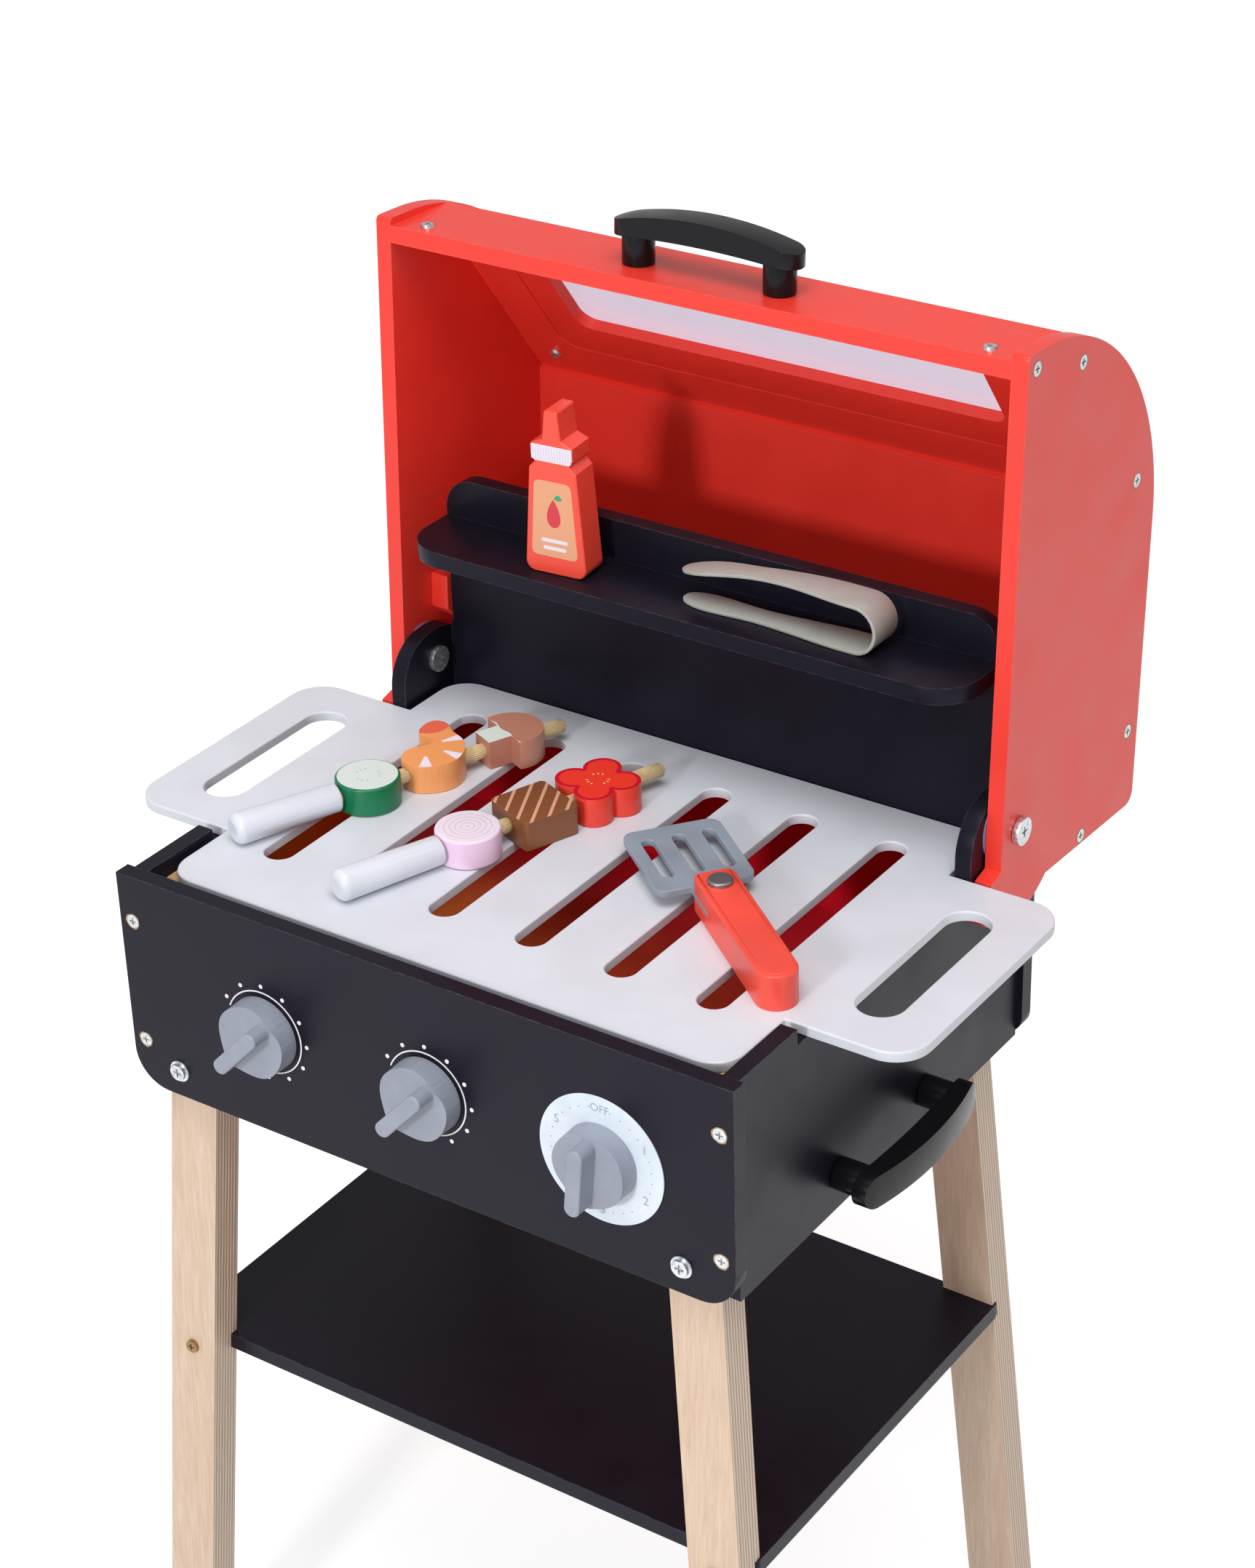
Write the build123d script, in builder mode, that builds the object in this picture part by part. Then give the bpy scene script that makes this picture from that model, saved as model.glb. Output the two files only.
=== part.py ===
from build123d import *
import math
import os

# Toy barbecue grill. Millimetres, +Z up, front of the grill faces -Y.
# The origin is on the floor under the middle of the whole grill with its lid open.
os.makedirs("parts", exist_ok=True)

# Firebox
box_z = 450.0            # bottom edge of the firebox above the floor
panel_w = 400.0          # front and rear panel width
panel_t = 10.0           # thickness of every board
box_depth = 310.0        # front face of front panel to rear face of rear panel
panel_h = 135.8          # front panel height
side_h = 134.7           # side panel height at the front
side_low_h = 125.0       # side panel height under the grate
side_in = 186.3          # inner face of a side panel from the middle
side_out = 196.2         # outer face of a side panel from the middle
rear_h = 98.0            # rear panel height
step_y = 65.0            # where the side panel steps down, from the front face
ear_y = box_depth - 68.0 # front edge of the hinge ear
ear_h = 169.5            # top of the hinge ear
ear_r = 28.0             # front corner radius of the hinge ear
floor_under = 44.0       # underside of the floor board
floor_t = 6.0

# Hinge and lid
pivot_y = box_depth - 35.5   # pivot from the front face
pivot_h = 150.3          # pivot above the bottom edge
lean = 2.6               # the open lid leans back by this angle
bolt_r = 4.0
run_gap = 0.06           # running clearance on a pin
rest_gap = 0.3           # clearance between bodies that rest on each other
lid_in = 197.1           # inner face of a lid side
lid_out = 207.0          # outer face of a lid side
lid_arc = 140.0          # radius of the lid side's long arc
lid_top_u = 275.0
lid_rear_v = 141.0
lid_front_v = -17.7
lid_low_u = -42.5
foot_r = 55.5            # the lid foot is round about the pivot
washer_r = 20.0

# Lid boards. The window board leans at the back of the top; its inner face passes
# through win_v, win_u and runs down along win_w.
win_v = 56.8
win_u = 229.9
win_w = (0.635, -0.7725)
win_n = (0.7725, 0.635)
win_low = 109.4
top_u0 = 260.8
top_u1 = top_u0 + panel_t
top_v0 = -17.5
back_v0 = 124.0
back_v1 = back_v0 + panel_t

# Legs
leg_w = 33.0
leg_t = 20.0
leg_out = 184.8          # outer edge of a leg at the bottom of the box
splay_x = 0.078
splay_y = 0.048
rear_leg_y = box_depth - 20.5    # rear face of a rear leg at the bottom of the box
low_shelf_top = -178.0   # lower shelf top from the bottom edge of the box
notch = 5.0              # depth of the slot in a leg for the lower shelf

# Grate
grate_top = 131.3
grate_t = 6.0
grate_half = 183.0
wing_half = 256.0
slot_pitch = 57.1
slot_w = 18.0

# Shelf and back board
shelf_top = 239.0
back_top = 263.7
shelf_half = 184.8

# Knobs
knob_xs = (-101.8, 8.3, 119.6)
knob_angles = (47.0, 48.0, 84.5)
knob_h = 65.7
knob_r = 22.0
knob_face = 14.5
knob_front = 26.5
dial_r = 38.3
dial_t = 0.8
shaft_r = 3.0

# Screws
screw_r = 1.75
screw_head_r = 4.0
leg_bolt_r = 3.0
leg_bolt_head_r = 6.5

# Handles
post_pitch = 90.2
post_r = 9.2
post_h = 16.0
grip_len = 118.0
grip_w = 20.0
grip_end_t = 8.0
grip_mid_t = 13.5
grip_rise = 3.0
post_seat = 2.4
handle_screw_r = 2.0

lean_c = math.cos(math.radians(lean))
lean_s = math.sin(math.radians(lean))

# Front face of the front panel in the part's frame: half way between the rearmost
# point of the open lid and the knobs is Y = 0
lid_back_y = pivot_y + (lid_rear_v - lid_arc) * lean_c + (lid_top_u - lid_arc) * lean_s + lid_arc
front = -(lid_back_y - knob_front) / 2


def fy(y):
    """Distance behind the front face to the part's Y."""
    return front + y


def hz(z):
    """Height above the box's bottom edge to the part's Z."""
    return box_z + z


def win_inner_v(u):
    """Where the window board's inner face is at a height in the lid."""
    return win_v + (u - win_u) / win_w[1] * win_w[0]


def slab(x0, x1, y0, y1, z0, z1, mode=Mode.ADD):
    """Straight block between six faces, in box coordinates."""
    with BuildSketch(Plane.XY.offset(hz(z0))) as sk:
        with Locations(((x0 + x1) / 2, fy((y0 + y1) / 2))):
            Rectangle(x1 - x0, y1 - y0)
    extrude(sk.sketch, amount=z1 - z0, mode=mode)


def hole_y(x, z, r, y0, y1, mode=Mode.SUBTRACT):
    """Round hole or pin along Y."""
    with BuildSketch(Plane((0, fy(y0), 0), x_dir=(1, 0, 0), z_dir=(0, -1, 0))) as sk:
        with Locations((x, hz(z))):
            Circle(r)
    extrude(sk.sketch, amount=-(y1 - y0), mode=mode)


def hole_x(y, z, r, x0, x1, mode=Mode.SUBTRACT):
    """Round hole or pin along X."""
    with BuildSketch(Plane((x0, 0, 0), x_dir=(0, 1, 0), z_dir=(1, 0, 0))) as sk:
        with Locations((fy(y), hz(z))):
            Circle(r)
    extrude(sk.sketch, amount=x1 - x0, mode=mode)


def side_plane(x):
    """Plane of the firebox side seen from +X: x is part Y, y is part Z."""
    return Plane((x, 0, 0), x_dir=(0, 1, 0), z_dir=(1, 0, 0))


pivot = (0, fy(pivot_y), hz(pivot_h))


def lid_plane(x):
    """Plane of the lid side: x runs back, y runs up, origin on the pivot."""
    return Plane((x, pivot[1], pivot[2]), x_dir=(0, lean_c, -lean_s), z_dir=(1, 0, 0))


def lid_point(x, v, u):
    """Point of the leaning lid in the part's frame."""
    return (x, pivot[1] + v * lean_c + u * lean_s, pivot[2] - v * lean_s + u * lean_c)


def finish(builder, name):
    builder.part.label = name
    export_step(builder.part, "parts/" + name + ".step")


# Front panel: square top corners, rounded lower corners
panel_screw_x = (side_in + side_out) / 2
panel_screw_zs = (29.8, 107.0)
rear_screw_zs = (29.8, 80.0)
shelf_screw_xs = (-140.0, 0.0, 140.0)
leg_bolt_x = 167.4
leg_bolt_z = 17.2


def panel_blank(y0, height, low_r):
    with BuildSketch(Plane((0, fy(y0), hz(0)), x_dir=(1, 0, 0), z_dir=(0, -1, 0))) as outline:
        with Locations((0, height / 2)):
            Rectangle(panel_w, height)
        fillet(outline.vertices().group_by(Axis.Y)[0], low_r)
    extrude(outline.sketch, amount=-panel_t)


def countersink(x, z, y_face, into, mode):
    """Cone of a countersunk head whose wide face lies on y_face."""
    with BuildSketch(Plane((0, 0, 0), x_dir=(1, 0, 0), z_dir=(0, 0, 1))) as half:
        with BuildLine():
            Polyline((0, 0), (screw_head_r, 0), (screw_r, into * 2.25), (0, into * 2.25), close=True)
        make_face()
    place = Plane((x, fy(y_face), hz(z)), x_dir=(1, 0, 0), z_dir=(0, 0, 1))
    cone = revolve(half.sketch, axis=Axis.Y, mode=Mode.PRIVATE)
    add(place.location * cone, mode=mode)


with BuildPart() as front_panel:
    panel_blank(0.0, panel_h, 22.0)
    for side in (-1, 1):
        for z in panel_screw_zs:
            hole_y(side * panel_screw_x, z, screw_r, 0.0, panel_t)
            countersink(side * panel_screw_x, z, 0.0, 1, Mode.SUBTRACT)
        hole_y(side * leg_bolt_x, leg_bolt_z, leg_bolt_r, 0.0, panel_t)
    for x in knob_xs:
        hole_y(x, knob_h, shaft_r + run_gap, 0.0, panel_t)
finish(front_panel, "front_panel")

# Rear panel: as wide as the front one, lower
with BuildPart() as rear_panel:
    panel_blank(box_depth - panel_t, rear_h, 12.0)
    for side in (-1, 1):
        for z in rear_screw_zs:
            hole_y(side * panel_screw_x, z, screw_r, box_depth - panel_t, box_depth)
            countersink(side * panel_screw_x, z, box_depth, -1, Mode.SUBTRACT)
        hole_y(side * leg_bolt_x, leg_bolt_z, leg_bolt_r, box_depth - panel_t, box_depth)
finish(rear_panel, "rear_panel")


# Side panels with the hinge ear; the right one has the handle holes
handle_y = (105.4, 105.4 + post_pitch)
handle_z = 22.6


def side_panel(side):
    x0 = side_in if side > 0 else -side_out
    x1 = x0 + side_out - side_in
    y_end = box_depth - panel_t
    with BuildSketch(side_plane(x0)) as sk:
        with BuildLine():
            Polyline(
                (fy(ear_y), hz(ear_h - ear_r)),
                (fy(ear_y), hz(side_low_h)),
                (fy(step_y), hz(side_low_h)),
                (fy(step_y), hz(side_h)),
                (fy(panel_t), hz(side_h)),
                (fy(panel_t), hz(0)),
                (fy(y_end), hz(0)),
                (fy(y_end), hz(ear_h - 22.0)),
            )
            CenterArc((fy(y_end - 22.0), hz(ear_h - 22.0)), 22.0, 0, 90)
            Line((fy(y_end - 22.0), hz(ear_h)), (fy(ear_y + ear_r), hz(ear_h)))
            CenterArc((fy(ear_y + ear_r), hz(ear_h - ear_r)), ear_r, 90, 90)
        make_face()
    extrude(sk.sketch, amount=x1 - x0)
    hole_x(pivot_y, pivot_h, bolt_r, x0, x1)
    for z in panel_screw_zs:
        hole_y(side * panel_screw_x, z, screw_r, panel_t, panel_t + 24.0)
    for z in rear_screw_zs:
        hole_y(side * panel_screw_x, z, screw_r, y_end - 24.0, y_end)
    if side > 0:
        for y in handle_y:
            hole_x(y, handle_z, handle_screw_r, x0, x1)


with BuildPart() as left_side_panel:
    side_panel(-1)
finish(left_side_panel, "left_side_panel")

with BuildPart() as right_side_panel:
    side_panel(1)
finish(right_side_panel, "right_side_panel")

# Floor board inside the box
with BuildPart() as floor_board:
    slab(-side_in, side_in, panel_t, box_depth - 2 * panel_t, floor_under, floor_under + floor_t)
finish(floor_board, "floor_board")

# Wooden cleats that carry the grate
cleat_top = grate_top - grate_t - rest_gap
cleat_y1 = box_depth - 2 * panel_t - 28.0
for side, name in ((-1, "left_grate_cleat"), (1, "right_grate_cleat")):
    with BuildPart() as cleat:
        inner = side_in - 12.0
        slab(min(side * inner, side * side_in), max(side * inner, side * side_in), 24.0, cleat_y1,
             cleat_top - 14.0, cleat_top)
        chamfer(cleat.edges().filter_by(Axis.Y).group_by(Axis.Z)[-1], 1.0)
    finish(cleat, name)

# Back board: full width between the sides, a little narrower above the ears
back_y0 = box_depth - 2 * panel_t
back_y1 = box_depth - panel_t
shelf_front = back_y0 - 46.5
shelf_t = panel_t
with BuildPart() as back_board:
    with BuildSketch(Plane((0, fy(back_y0), hz(0)), x_dir=(1, 0, 0), z_dir=(0, -1, 0))) as outline:
        with Locations((0, 84.0)):
            Rectangle(2 * side_in, 168.0)
        with Locations((0, (back_top + 100.0) / 2)):
            Rectangle(2 * shelf_half, back_top - 100.0)
        fillet(outline.vertices().group_by(Axis.Y)[-1], 20.0)
    extrude(amount=-panel_t)
    for side in (-1, 1):
        hole_y(side * leg_bolt_x, leg_bolt_z, leg_bolt_r, back_y0, back_y1)
    for x in shelf_screw_xs:
        hole_y(x, shelf_top - shelf_t / 2, screw_r, back_y0, back_y1)
        countersink(x, shelf_top - shelf_t / 2, back_y1, -1, Mode.SUBTRACT)
finish(back_board, "back_board")

# Shelf in front of the back board
with BuildPart() as shelf:
    with BuildSketch(Plane.XY.offset(hz(shelf_top - shelf_t))) as outline:
        with Locations((0, fy((shelf_front + back_y0) / 2))):
            Rectangle(2 * shelf_half, back_y0 - shelf_front)
        fillet(outline.vertices().group_by(Axis.Y)[0], 26.0)
    extrude(amount=shelf_t)
    for x in shelf_screw_xs:
        hole_y(x, shelf_top - shelf_t / 2, screw_r, back_y0 - 20.0, back_y0)
finish(shelf, "shelf")


# Legs: splayed plywood bars, cut level at the top and at the floor, with a slot for the shelf
low_x = panel_w / 2      # half width of the lower shelf
leg_notch_z0 = low_shelf_top - panel_t


def leg_x(z):
    """Outer face of a leg at a height from the box's bottom edge."""
    return leg_out - splay_x * z


def leg_front(z):
    """Front face of a front leg."""
    return panel_t + splay_y * z


def leg_rear(z):
    """Rear face of a rear leg."""
    return rear_leg_y - splay_y * z


def leg_section(side, rear, z):
    """Level cut through a leg."""
    x1 = side * leg_x(z)
    x0 = side * (leg_x(z) - leg_w)
    y0 = leg_rear(z) - leg_t if rear else leg_front(z)
    with BuildSketch(Plane.XY.offset(hz(z)), mode=Mode.PRIVATE) as cut:
        with Locations(((x0 + x1) / 2, fy(y0 + leg_t / 2))):
            Rectangle(leg_w, leg_t)
    return cut.sketch


def shelf_edge(rear):
    """Front or rear edge of the lower shelf, inside the leg slots."""
    z = low_shelf_top - panel_t / 2
    return leg_rear(z) - leg_t + notch if rear else leg_front(z) + leg_t - notch


def leg(side, rear):
    loft([leg_section(side, rear, -box_z), leg_section(side, rear, floor_under)])
    y_edge = shelf_edge(rear)
    y_far = y_edge - 30.0 if rear else y_edge + 30.0
    slab(min(side * 140.0, side * 240.0), max(side * 140.0, side * 240.0), min(y_edge, y_far),
         max(y_edge, y_far), leg_notch_z0, low_shelf_top, Mode.SUBTRACT)
    y0 = leg_rear(0) - 16.0 if rear else leg_front(0) - 2.0
    hole_y(side * leg_bolt_x, leg_bolt_z, leg_bolt_r, y0, y0 + 18.0)
    x_mid = side * (leg_x(low_shelf_top) - leg_w / 2)
    z_mid = low_shelf_top - panel_t / 2
    y_out = leg_rear(z_mid) if rear else leg_front(z_mid)
    y_in = shelf_edge(rear)
    hole_y(x_mid, z_mid, screw_r, min(y_out, y_in) - 2.0, max(y_out, y_in) + 2.0)
    y_seat = y_out + 2.0 if rear else y_out - 2.0
    hole_y(x_mid, z_mid, screw_head_r + 0.1, min(y_out, y_seat), max(y_out, y_seat))


leg_names = (
    (-1, False, "front_left_leg"),
    (1, False, "front_right_leg"),
    (-1, True, "rear_left_leg"),
    (1, True, "rear_right_leg"),
)
for side, rear, name in leg_names:
    with BuildPart() as one_leg:
        leg(side, rear)
    finish(one_leg, name)

# Lower shelf held in the slots of the four legs
with BuildPart() as lower_shelf:
    with BuildSketch(Plane.XY.offset(hz(low_shelf_top - panel_t))) as outline:
        with Locations((0, fy((shelf_edge(False) + shelf_edge(True)) / 2))):
            Rectangle(2 * low_x, shelf_edge(True) - shelf_edge(False))
        fillet(outline.vertices(), 4.0)
    extrude(amount=panel_t)
    for side in (-1, 1):
        x_mid = side * (leg_x(low_shelf_top) - leg_w / 2)
        hole_y(x_mid, low_shelf_top - panel_t / 2, screw_r, shelf_edge(False), shelf_edge(False) + 16.0)
        hole_y(x_mid, low_shelf_top - panel_t / 2, screw_r, shelf_edge(True) - 16.0, shelf_edge(True))
finish(lower_shelf, "lower_shelf")


# Screws: countersunk heads with a cross recess
def wood_screw(x, z, y_face, into, length):
    """Countersunk screw along Y, its head flush with y_face."""
    countersink(x, z, y_face, into, Mode.ADD)
    y_tip = y_face + into * length
    hole_y(x, z, screw_r, min(y_face + into * 2.2, y_tip), max(y_face + into * 2.2, y_tip), Mode.ADD)
    with BuildSketch(Plane((0, fy(y_face), 0), x_dir=(1, 0, 0), z_dir=(0, -1, 0))) as sk:
        with Locations((x, hz(z))):
            Rectangle(4.4, 1.0)
            Rectangle(1.0, 4.4)
    extrude(sk.sketch, amount=-into * 1.2, mode=Mode.SUBTRACT)


with BuildPart() as panel_screws:
    for side in (-1, 1):
        for z in panel_screw_zs:
            wood_screw(side * panel_screw_x, z, 0.0, 1, 30.0)
        for z in rear_screw_zs:
            wood_screw(side * panel_screw_x, z, box_depth, -1, 30.0)
    for x in shelf_screw_xs:
        wood_screw(x, shelf_top - shelf_t / 2, back_y1, -1, 28.0)
finish(panel_screws, "panel_screws")


# Leg bolts: proud washer head with a cross recess
def leg_bolt(x, z, y_face, into, length):
    head_y = y_face - into * 1.2
    dome_y = y_face - into * 3.2
    hole_y(x, z, leg_bolt_head_r, min(head_y, y_face), max(head_y, y_face), Mode.ADD)
    hole_y(x, z, 5.0, min(dome_y, head_y), max(dome_y, head_y), Mode.ADD)
    y_tip = y_face + into * length
    hole_y(x, z, leg_bolt_r, min(y_face, y_tip), max(y_face, y_tip), Mode.ADD)
    with BuildSketch(Plane((0, fy(dome_y), 0), x_dir=(1, 0, 0), z_dir=(0, -1, 0))) as sk:
        with Locations((x, hz(z))):
            Rectangle(5.6, 1.2)
            Rectangle(1.2, 5.6)
    extrude(sk.sketch, amount=-into * 1.6, mode=Mode.SUBTRACT)


with BuildPart() as leg_bolts:
    for side in (-1, 1):
        leg_bolt(side * leg_bolt_x, leg_bolt_z, 0.0, 1, 24.0)
        leg_bolt(side * leg_bolt_x, leg_bolt_z, box_depth, -1, 32.0)
finish(leg_bolts, "leg_bolts")

with BuildPart() as lower_shelf_screws:
    for side in (-1, 1):
        for rear in (False, True):
            x_mid = side * (leg_x(low_shelf_top) - leg_w / 2)
            z_mid = low_shelf_top - panel_t / 2
            y_out = leg_rear(z_mid) if rear else leg_front(z_mid)
            y_in = shelf_edge(rear)
            into = -1 if rear else 1
            y_tip = y_in + into * 14.0
            y_head = y_out - into * 2.4
            hole_y(x_mid, z_mid, screw_r, min(y_out, y_tip), max(y_out, y_tip), Mode.ADD)
            hole_y(x_mid, z_mid, screw_head_r, min(y_head, y_out), max(y_head, y_out), Mode.ADD)
            y_slot = y_head + into * 1.2
            slab(x_mid - 2.2, x_mid + 2.2, min(y_head, y_slot), max(y_head, y_slot), z_mid - 0.5,
                 z_mid + 0.5, Mode.SUBTRACT)
            slab(x_mid - 0.5, x_mid + 0.5, min(y_head, y_slot), max(y_head, y_slot), z_mid - 2.2,
                 z_mid + 2.2, Mode.SUBTRACT)
finish(lower_shelf_screws, "lower_shelf_screws")

# Grate: slotted board with two handle wings
wing_y0 = 74.2
wing_y1 = ear_y - 0.4
slot_y0 = 62.0
slot_y1 = back_y0 - 33.0
wing_slot_x = wing_half - 39.5
wing_slot_y = (wing_y0 + wing_y1) / 2 - 0.4
with BuildPart() as grate:
    with BuildSketch(Plane.XY.offset(hz(grate_top - grate_t))) as outline:
        with Locations((0, fy((19.1 + back_y0 - rest_gap) / 2))):
            RectangleRounded(2 * grate_half, back_y0 - rest_gap - 19.1, 19.0)
        with Locations((0, fy((wing_y0 + wing_y1) / 2))):
            RectangleRounded(2 * wing_half, wing_y1 - wing_y0, 21.0)
        for i in range(6):
            with Locations(((i - 2.5) * slot_pitch, fy((slot_y0 + slot_y1) / 2))):
                SlotOverall(slot_y1 - slot_y0, slot_w, rotation=90, mode=Mode.SUBTRACT)
        for side in (-1, 1):
            with Locations((side * wing_slot_x, fy(wing_slot_y))):
                SlotOverall(115.0, 27.0, rotation=90, mode=Mode.SUBTRACT)
    extrude(amount=grate_t)
    chamfer(grate.edges().group_by(Axis.Z)[-1], 0.6)
finish(grate, "grate")


# Knobs: skirt, two scooped faces and an upright bar
def knob(x, angle, back_y):
    """Knob whose bar makes an angle with +X; back_y is the gap side."""
    face = Plane((x, fy(-back_y), hz(knob_h)), x_dir=(1, 0, 0), z_dir=(0, -1, 0))
    with BuildSketch(face) as sk:
        Circle(knob_r)
    extrude(sk.sketch, amount=knob_face - back_y, taper=1.2)
    a = math.radians(angle)
    along = (math.cos(a), 0, math.sin(a))
    across = (-math.sin(a), 0, math.cos(a))
    for side in (-1, 1):
        cx = x + side * 14.0 * across[0]
        cz = hz(knob_h) + side * 14.0 * across[2]
        scoop = Plane((cx, fy(-knob_face - 24.0), cz), x_dir=across, z_dir=along)
        with BuildSketch(scoop) as sk:
            Circle(26.2)
        extrude(sk.sketch, amount=30.0, both=True, mode=Mode.SUBTRACT)
    grip = Plane((x, fy(-knob_face + 4.0), hz(knob_h)), x_dir=along, z_dir=(0, -1, 0))
    with BuildSketch(grip) as sk:
        SlotOverall(42.0, 9.5)
    bar = extrude(sk.sketch, amount=knob_front - knob_face + 4.0, taper=0.5)
    tip = bar.edges().group_by(Axis.Y)[0]
    fillet(tip, 1.2)
    hole_y(x, knob_h, shaft_r, -18.0, -back_y)


knob_backs = (rest_gap, rest_gap, dial_t + rest_gap)
for i in range(3):
    with BuildPart() as one_knob:
        knob(knob_xs[i], knob_angles[i], knob_backs[i])
    finish(one_knob, "knob_" + str(i + 1))
    with BuildPart() as one_screw:
        hole_y(knob_xs[i], knob_h, shaft_r, -17.0, panel_t + rest_gap, Mode.ADD)
        hole_y(knob_xs[i], knob_h, 7.5, panel_t + rest_gap, panel_t + rest_gap + 1.4, Mode.ADD)
        hole_y(knob_xs[i], knob_h, 5.2, panel_t + rest_gap + 1.4, panel_t + rest_gap + 4.6, Mode.ADD)
    finish(one_screw, "knob_" + str(i + 1) + "_shaft")

# Dial plate behind the third knob, with a small raised pin
with BuildPart() as dial_plate:
    hole_y(knob_xs[2], knob_h, dial_r, -dial_t, 0.0, Mode.ADD)
    hole_y(knob_xs[2], knob_h, shaft_r + 0.5, -dial_t, 0.0)
    hole_y(knob_xs[2] + 24.0, knob_h - 22.5, 1.9, -dial_t - 0.4, -dial_t, Mode.ADD)
finish(dial_plate, "dial_plate")


# Handles: two round posts and an arched bar, used on the lid and on the right side
def handle_planes(origin, out_dir, along_dir):
    """Plane whose x runs along the bar and whose y points away from the board."""
    normal = Vector(along_dir).cross(Vector(out_dir))
    return Plane(origin, x_dir=along_dir, z_dir=normal)


def grip(plane, origin, out_dir, along_dir):
    """Arched bar with rounded ends, seats for the posts and blind screw holes."""
    half = grip_len / 2 + 1.0
    low = post_h
    with BuildSketch(plane.offset(-grip_w / 2 - 1.0)) as arch:
        with BuildLine():
            ThreePointArc((-half, low), (0, low + grip_rise), (half, low))
            Line((half, low), (half, low + grip_end_t))
            top_mid = low + grip_rise + grip_mid_t
            ThreePointArc((half, low + grip_end_t), (0, top_mid), (-half, low + grip_end_t))
            Line((-half, low + grip_end_t), (-half, low))
        make_face()
    extrude(arch.sketch, amount=grip_w + 2.0)
    face = Plane(origin, x_dir=along_dir, z_dir=out_dir)
    with BuildSketch(face) as ends:
        SlotOverall(grip_len, grip_w)
    extrude(ends.sketch, amount=60.0, mode=Mode.INTERSECT)
    with BuildSketch(face) as seats:
        for s in (-1, 1):
            with Locations((s * post_pitch / 2, 0)):
                Circle(post_r)
    extrude(seats.sketch, amount=post_h + post_seat, mode=Mode.SUBTRACT)
    with BuildSketch(face) as bores:
        for s in (-1, 1):
            with Locations((s * post_pitch / 2, 0)):
                Circle(handle_screw_r)
    extrude(bores.sketch, amount=post_h + 7.5, mode=Mode.SUBTRACT)


def posts(origin, out_dir, along_dir):
    face = Plane(origin, x_dir=along_dir, z_dir=out_dir)
    with BuildSketch(face) as sk:
        for s in (-1, 1):
            with Locations((s * post_pitch / 2, 0)):
                Circle(post_r)
                Circle(handle_screw_r, mode=Mode.SUBTRACT)
    extrude(sk.sketch, amount=post_h + post_seat)


def handle_screws(origin, out_dir, along_dir, board_t):
    """Pan head behind the board, shank through board and post into the bar."""
    back = Vector(origin) - Vector(out_dir) * board_t
    face = Plane(back, x_dir=along_dir, z_dir=out_dir)
    with BuildSketch(face) as sk:
        for s in (-1, 1):
            with Locations((s * post_pitch / 2, 0)):
                Circle(handle_screw_r)
    extrude(sk.sketch, amount=board_t + post_h + 7.0)
    with BuildSketch(face) as sk:
        for s in (-1, 1):
            with Locations((s * post_pitch / 2, 0)):
                Circle(4.2)
    extrude(sk.sketch, amount=-2.2)


side_origin = (side_out, fy(sum(handle_y) / 2), hz(handle_z))
lid_handle_v = (top_v0 + win_inner_v(top_u0)) / 2 - 0.95
lid_origin = lid_point(0, lid_handle_v, top_u1)
lid_up = (0, lean_s, lean_c)
handles = (
    ("side_handle", side_origin, (1, 0, 0), (0, 1, 0), side_out - side_in),
    ("lid_handle", lid_origin, lid_up, (1, 0, 0), panel_t),
)
for name, origin, out_dir, along_dir, board_t in handles:
    with BuildPart() as handle_grip:
        grip(handle_planes(origin, out_dir, along_dir), origin, out_dir, along_dir)
    finish(handle_grip, name + "_grip")
    with BuildPart() as handle_posts:
        posts(origin, out_dir, along_dir)
    finish(handle_posts, name + "_posts")
    with BuildPart() as screws:
        handle_screws(origin, out_dir, along_dir, board_t)
    finish(screws, name + "_screws")

# Hinge: on each side one bolt through ear, washer and lid side
head_t = 2.9
with BuildPart() as hinge_bolts:
    for side in (-1, 1):
        a = side * (side_in - head_t)
        b = side * (lid_out + rest_gap + 3.6)
        hole_x(pivot_y, pivot_h, bolt_r, min(a, b), max(a, b), Mode.ADD)
        c = side * side_in
        hole_x(pivot_y, pivot_h, 8.0, min(a, c), max(a, c), Mode.ADD)
        d = side * (lid_out + rest_gap)
        hole_x(pivot_y, pivot_h, 8.0, min(b, d), max(b, d), Mode.ADD)
        for x_face, inward in ((a, side), (b, -side)):
            x_deep = x_face + inward * 1.3
            with BuildSketch(side_plane(min(x_face, x_deep))):
                with Locations((pivot[1], pivot[2])):
                    Rectangle(6.0, 1.2)
                    Rectangle(1.2, 6.0)
            extrude(amount=1.3, mode=Mode.SUBTRACT)
finish(hinge_bolts, "hinge_bolts")

with BuildPart() as hinge_washers:
    for side in (-1, 1):
        a = side * side_out
        b = side * (lid_in - rest_gap)
        hole_x(pivot_y, pivot_h, washer_r, min(a, b), max(a, b), Mode.ADD)
        hole_x(pivot_y, pivot_h, bolt_r, min(a, b), max(a, b))
finish(hinge_washers, "hinge_washers")

# Lid boards
lid_board_half = lid_in


low_in = (win_v + win_low * win_w[0], win_u + win_low * win_w[1])
low_out = (low_in[0] + panel_t * win_n[0], low_in[1] + panel_t * win_n[1])
out_v = win_v + panel_t * win_n[0]
out_u = win_u + panel_t * win_n[1]
up_out = (out_v + (top_u1 - out_u) / win_w[1] * win_w[0], top_u1)
back_top_in = (back_v0, low_in[1] + (back_v0 - low_in[0]) / win_n[0] * win_n[1])
back_top_out = (back_v1, low_in[1] + (back_v1 - low_in[0]) / win_n[0] * win_n[1])
win_high = (top_u1 - win_u) / win_w[1]


def in_window_board(w, n):
    """Point in the window board, w down along it and n behind its inner face."""
    return (win_v + w * win_w[0] + n * win_n[0], win_u + w * win_w[1] + n * win_n[1])


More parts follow.
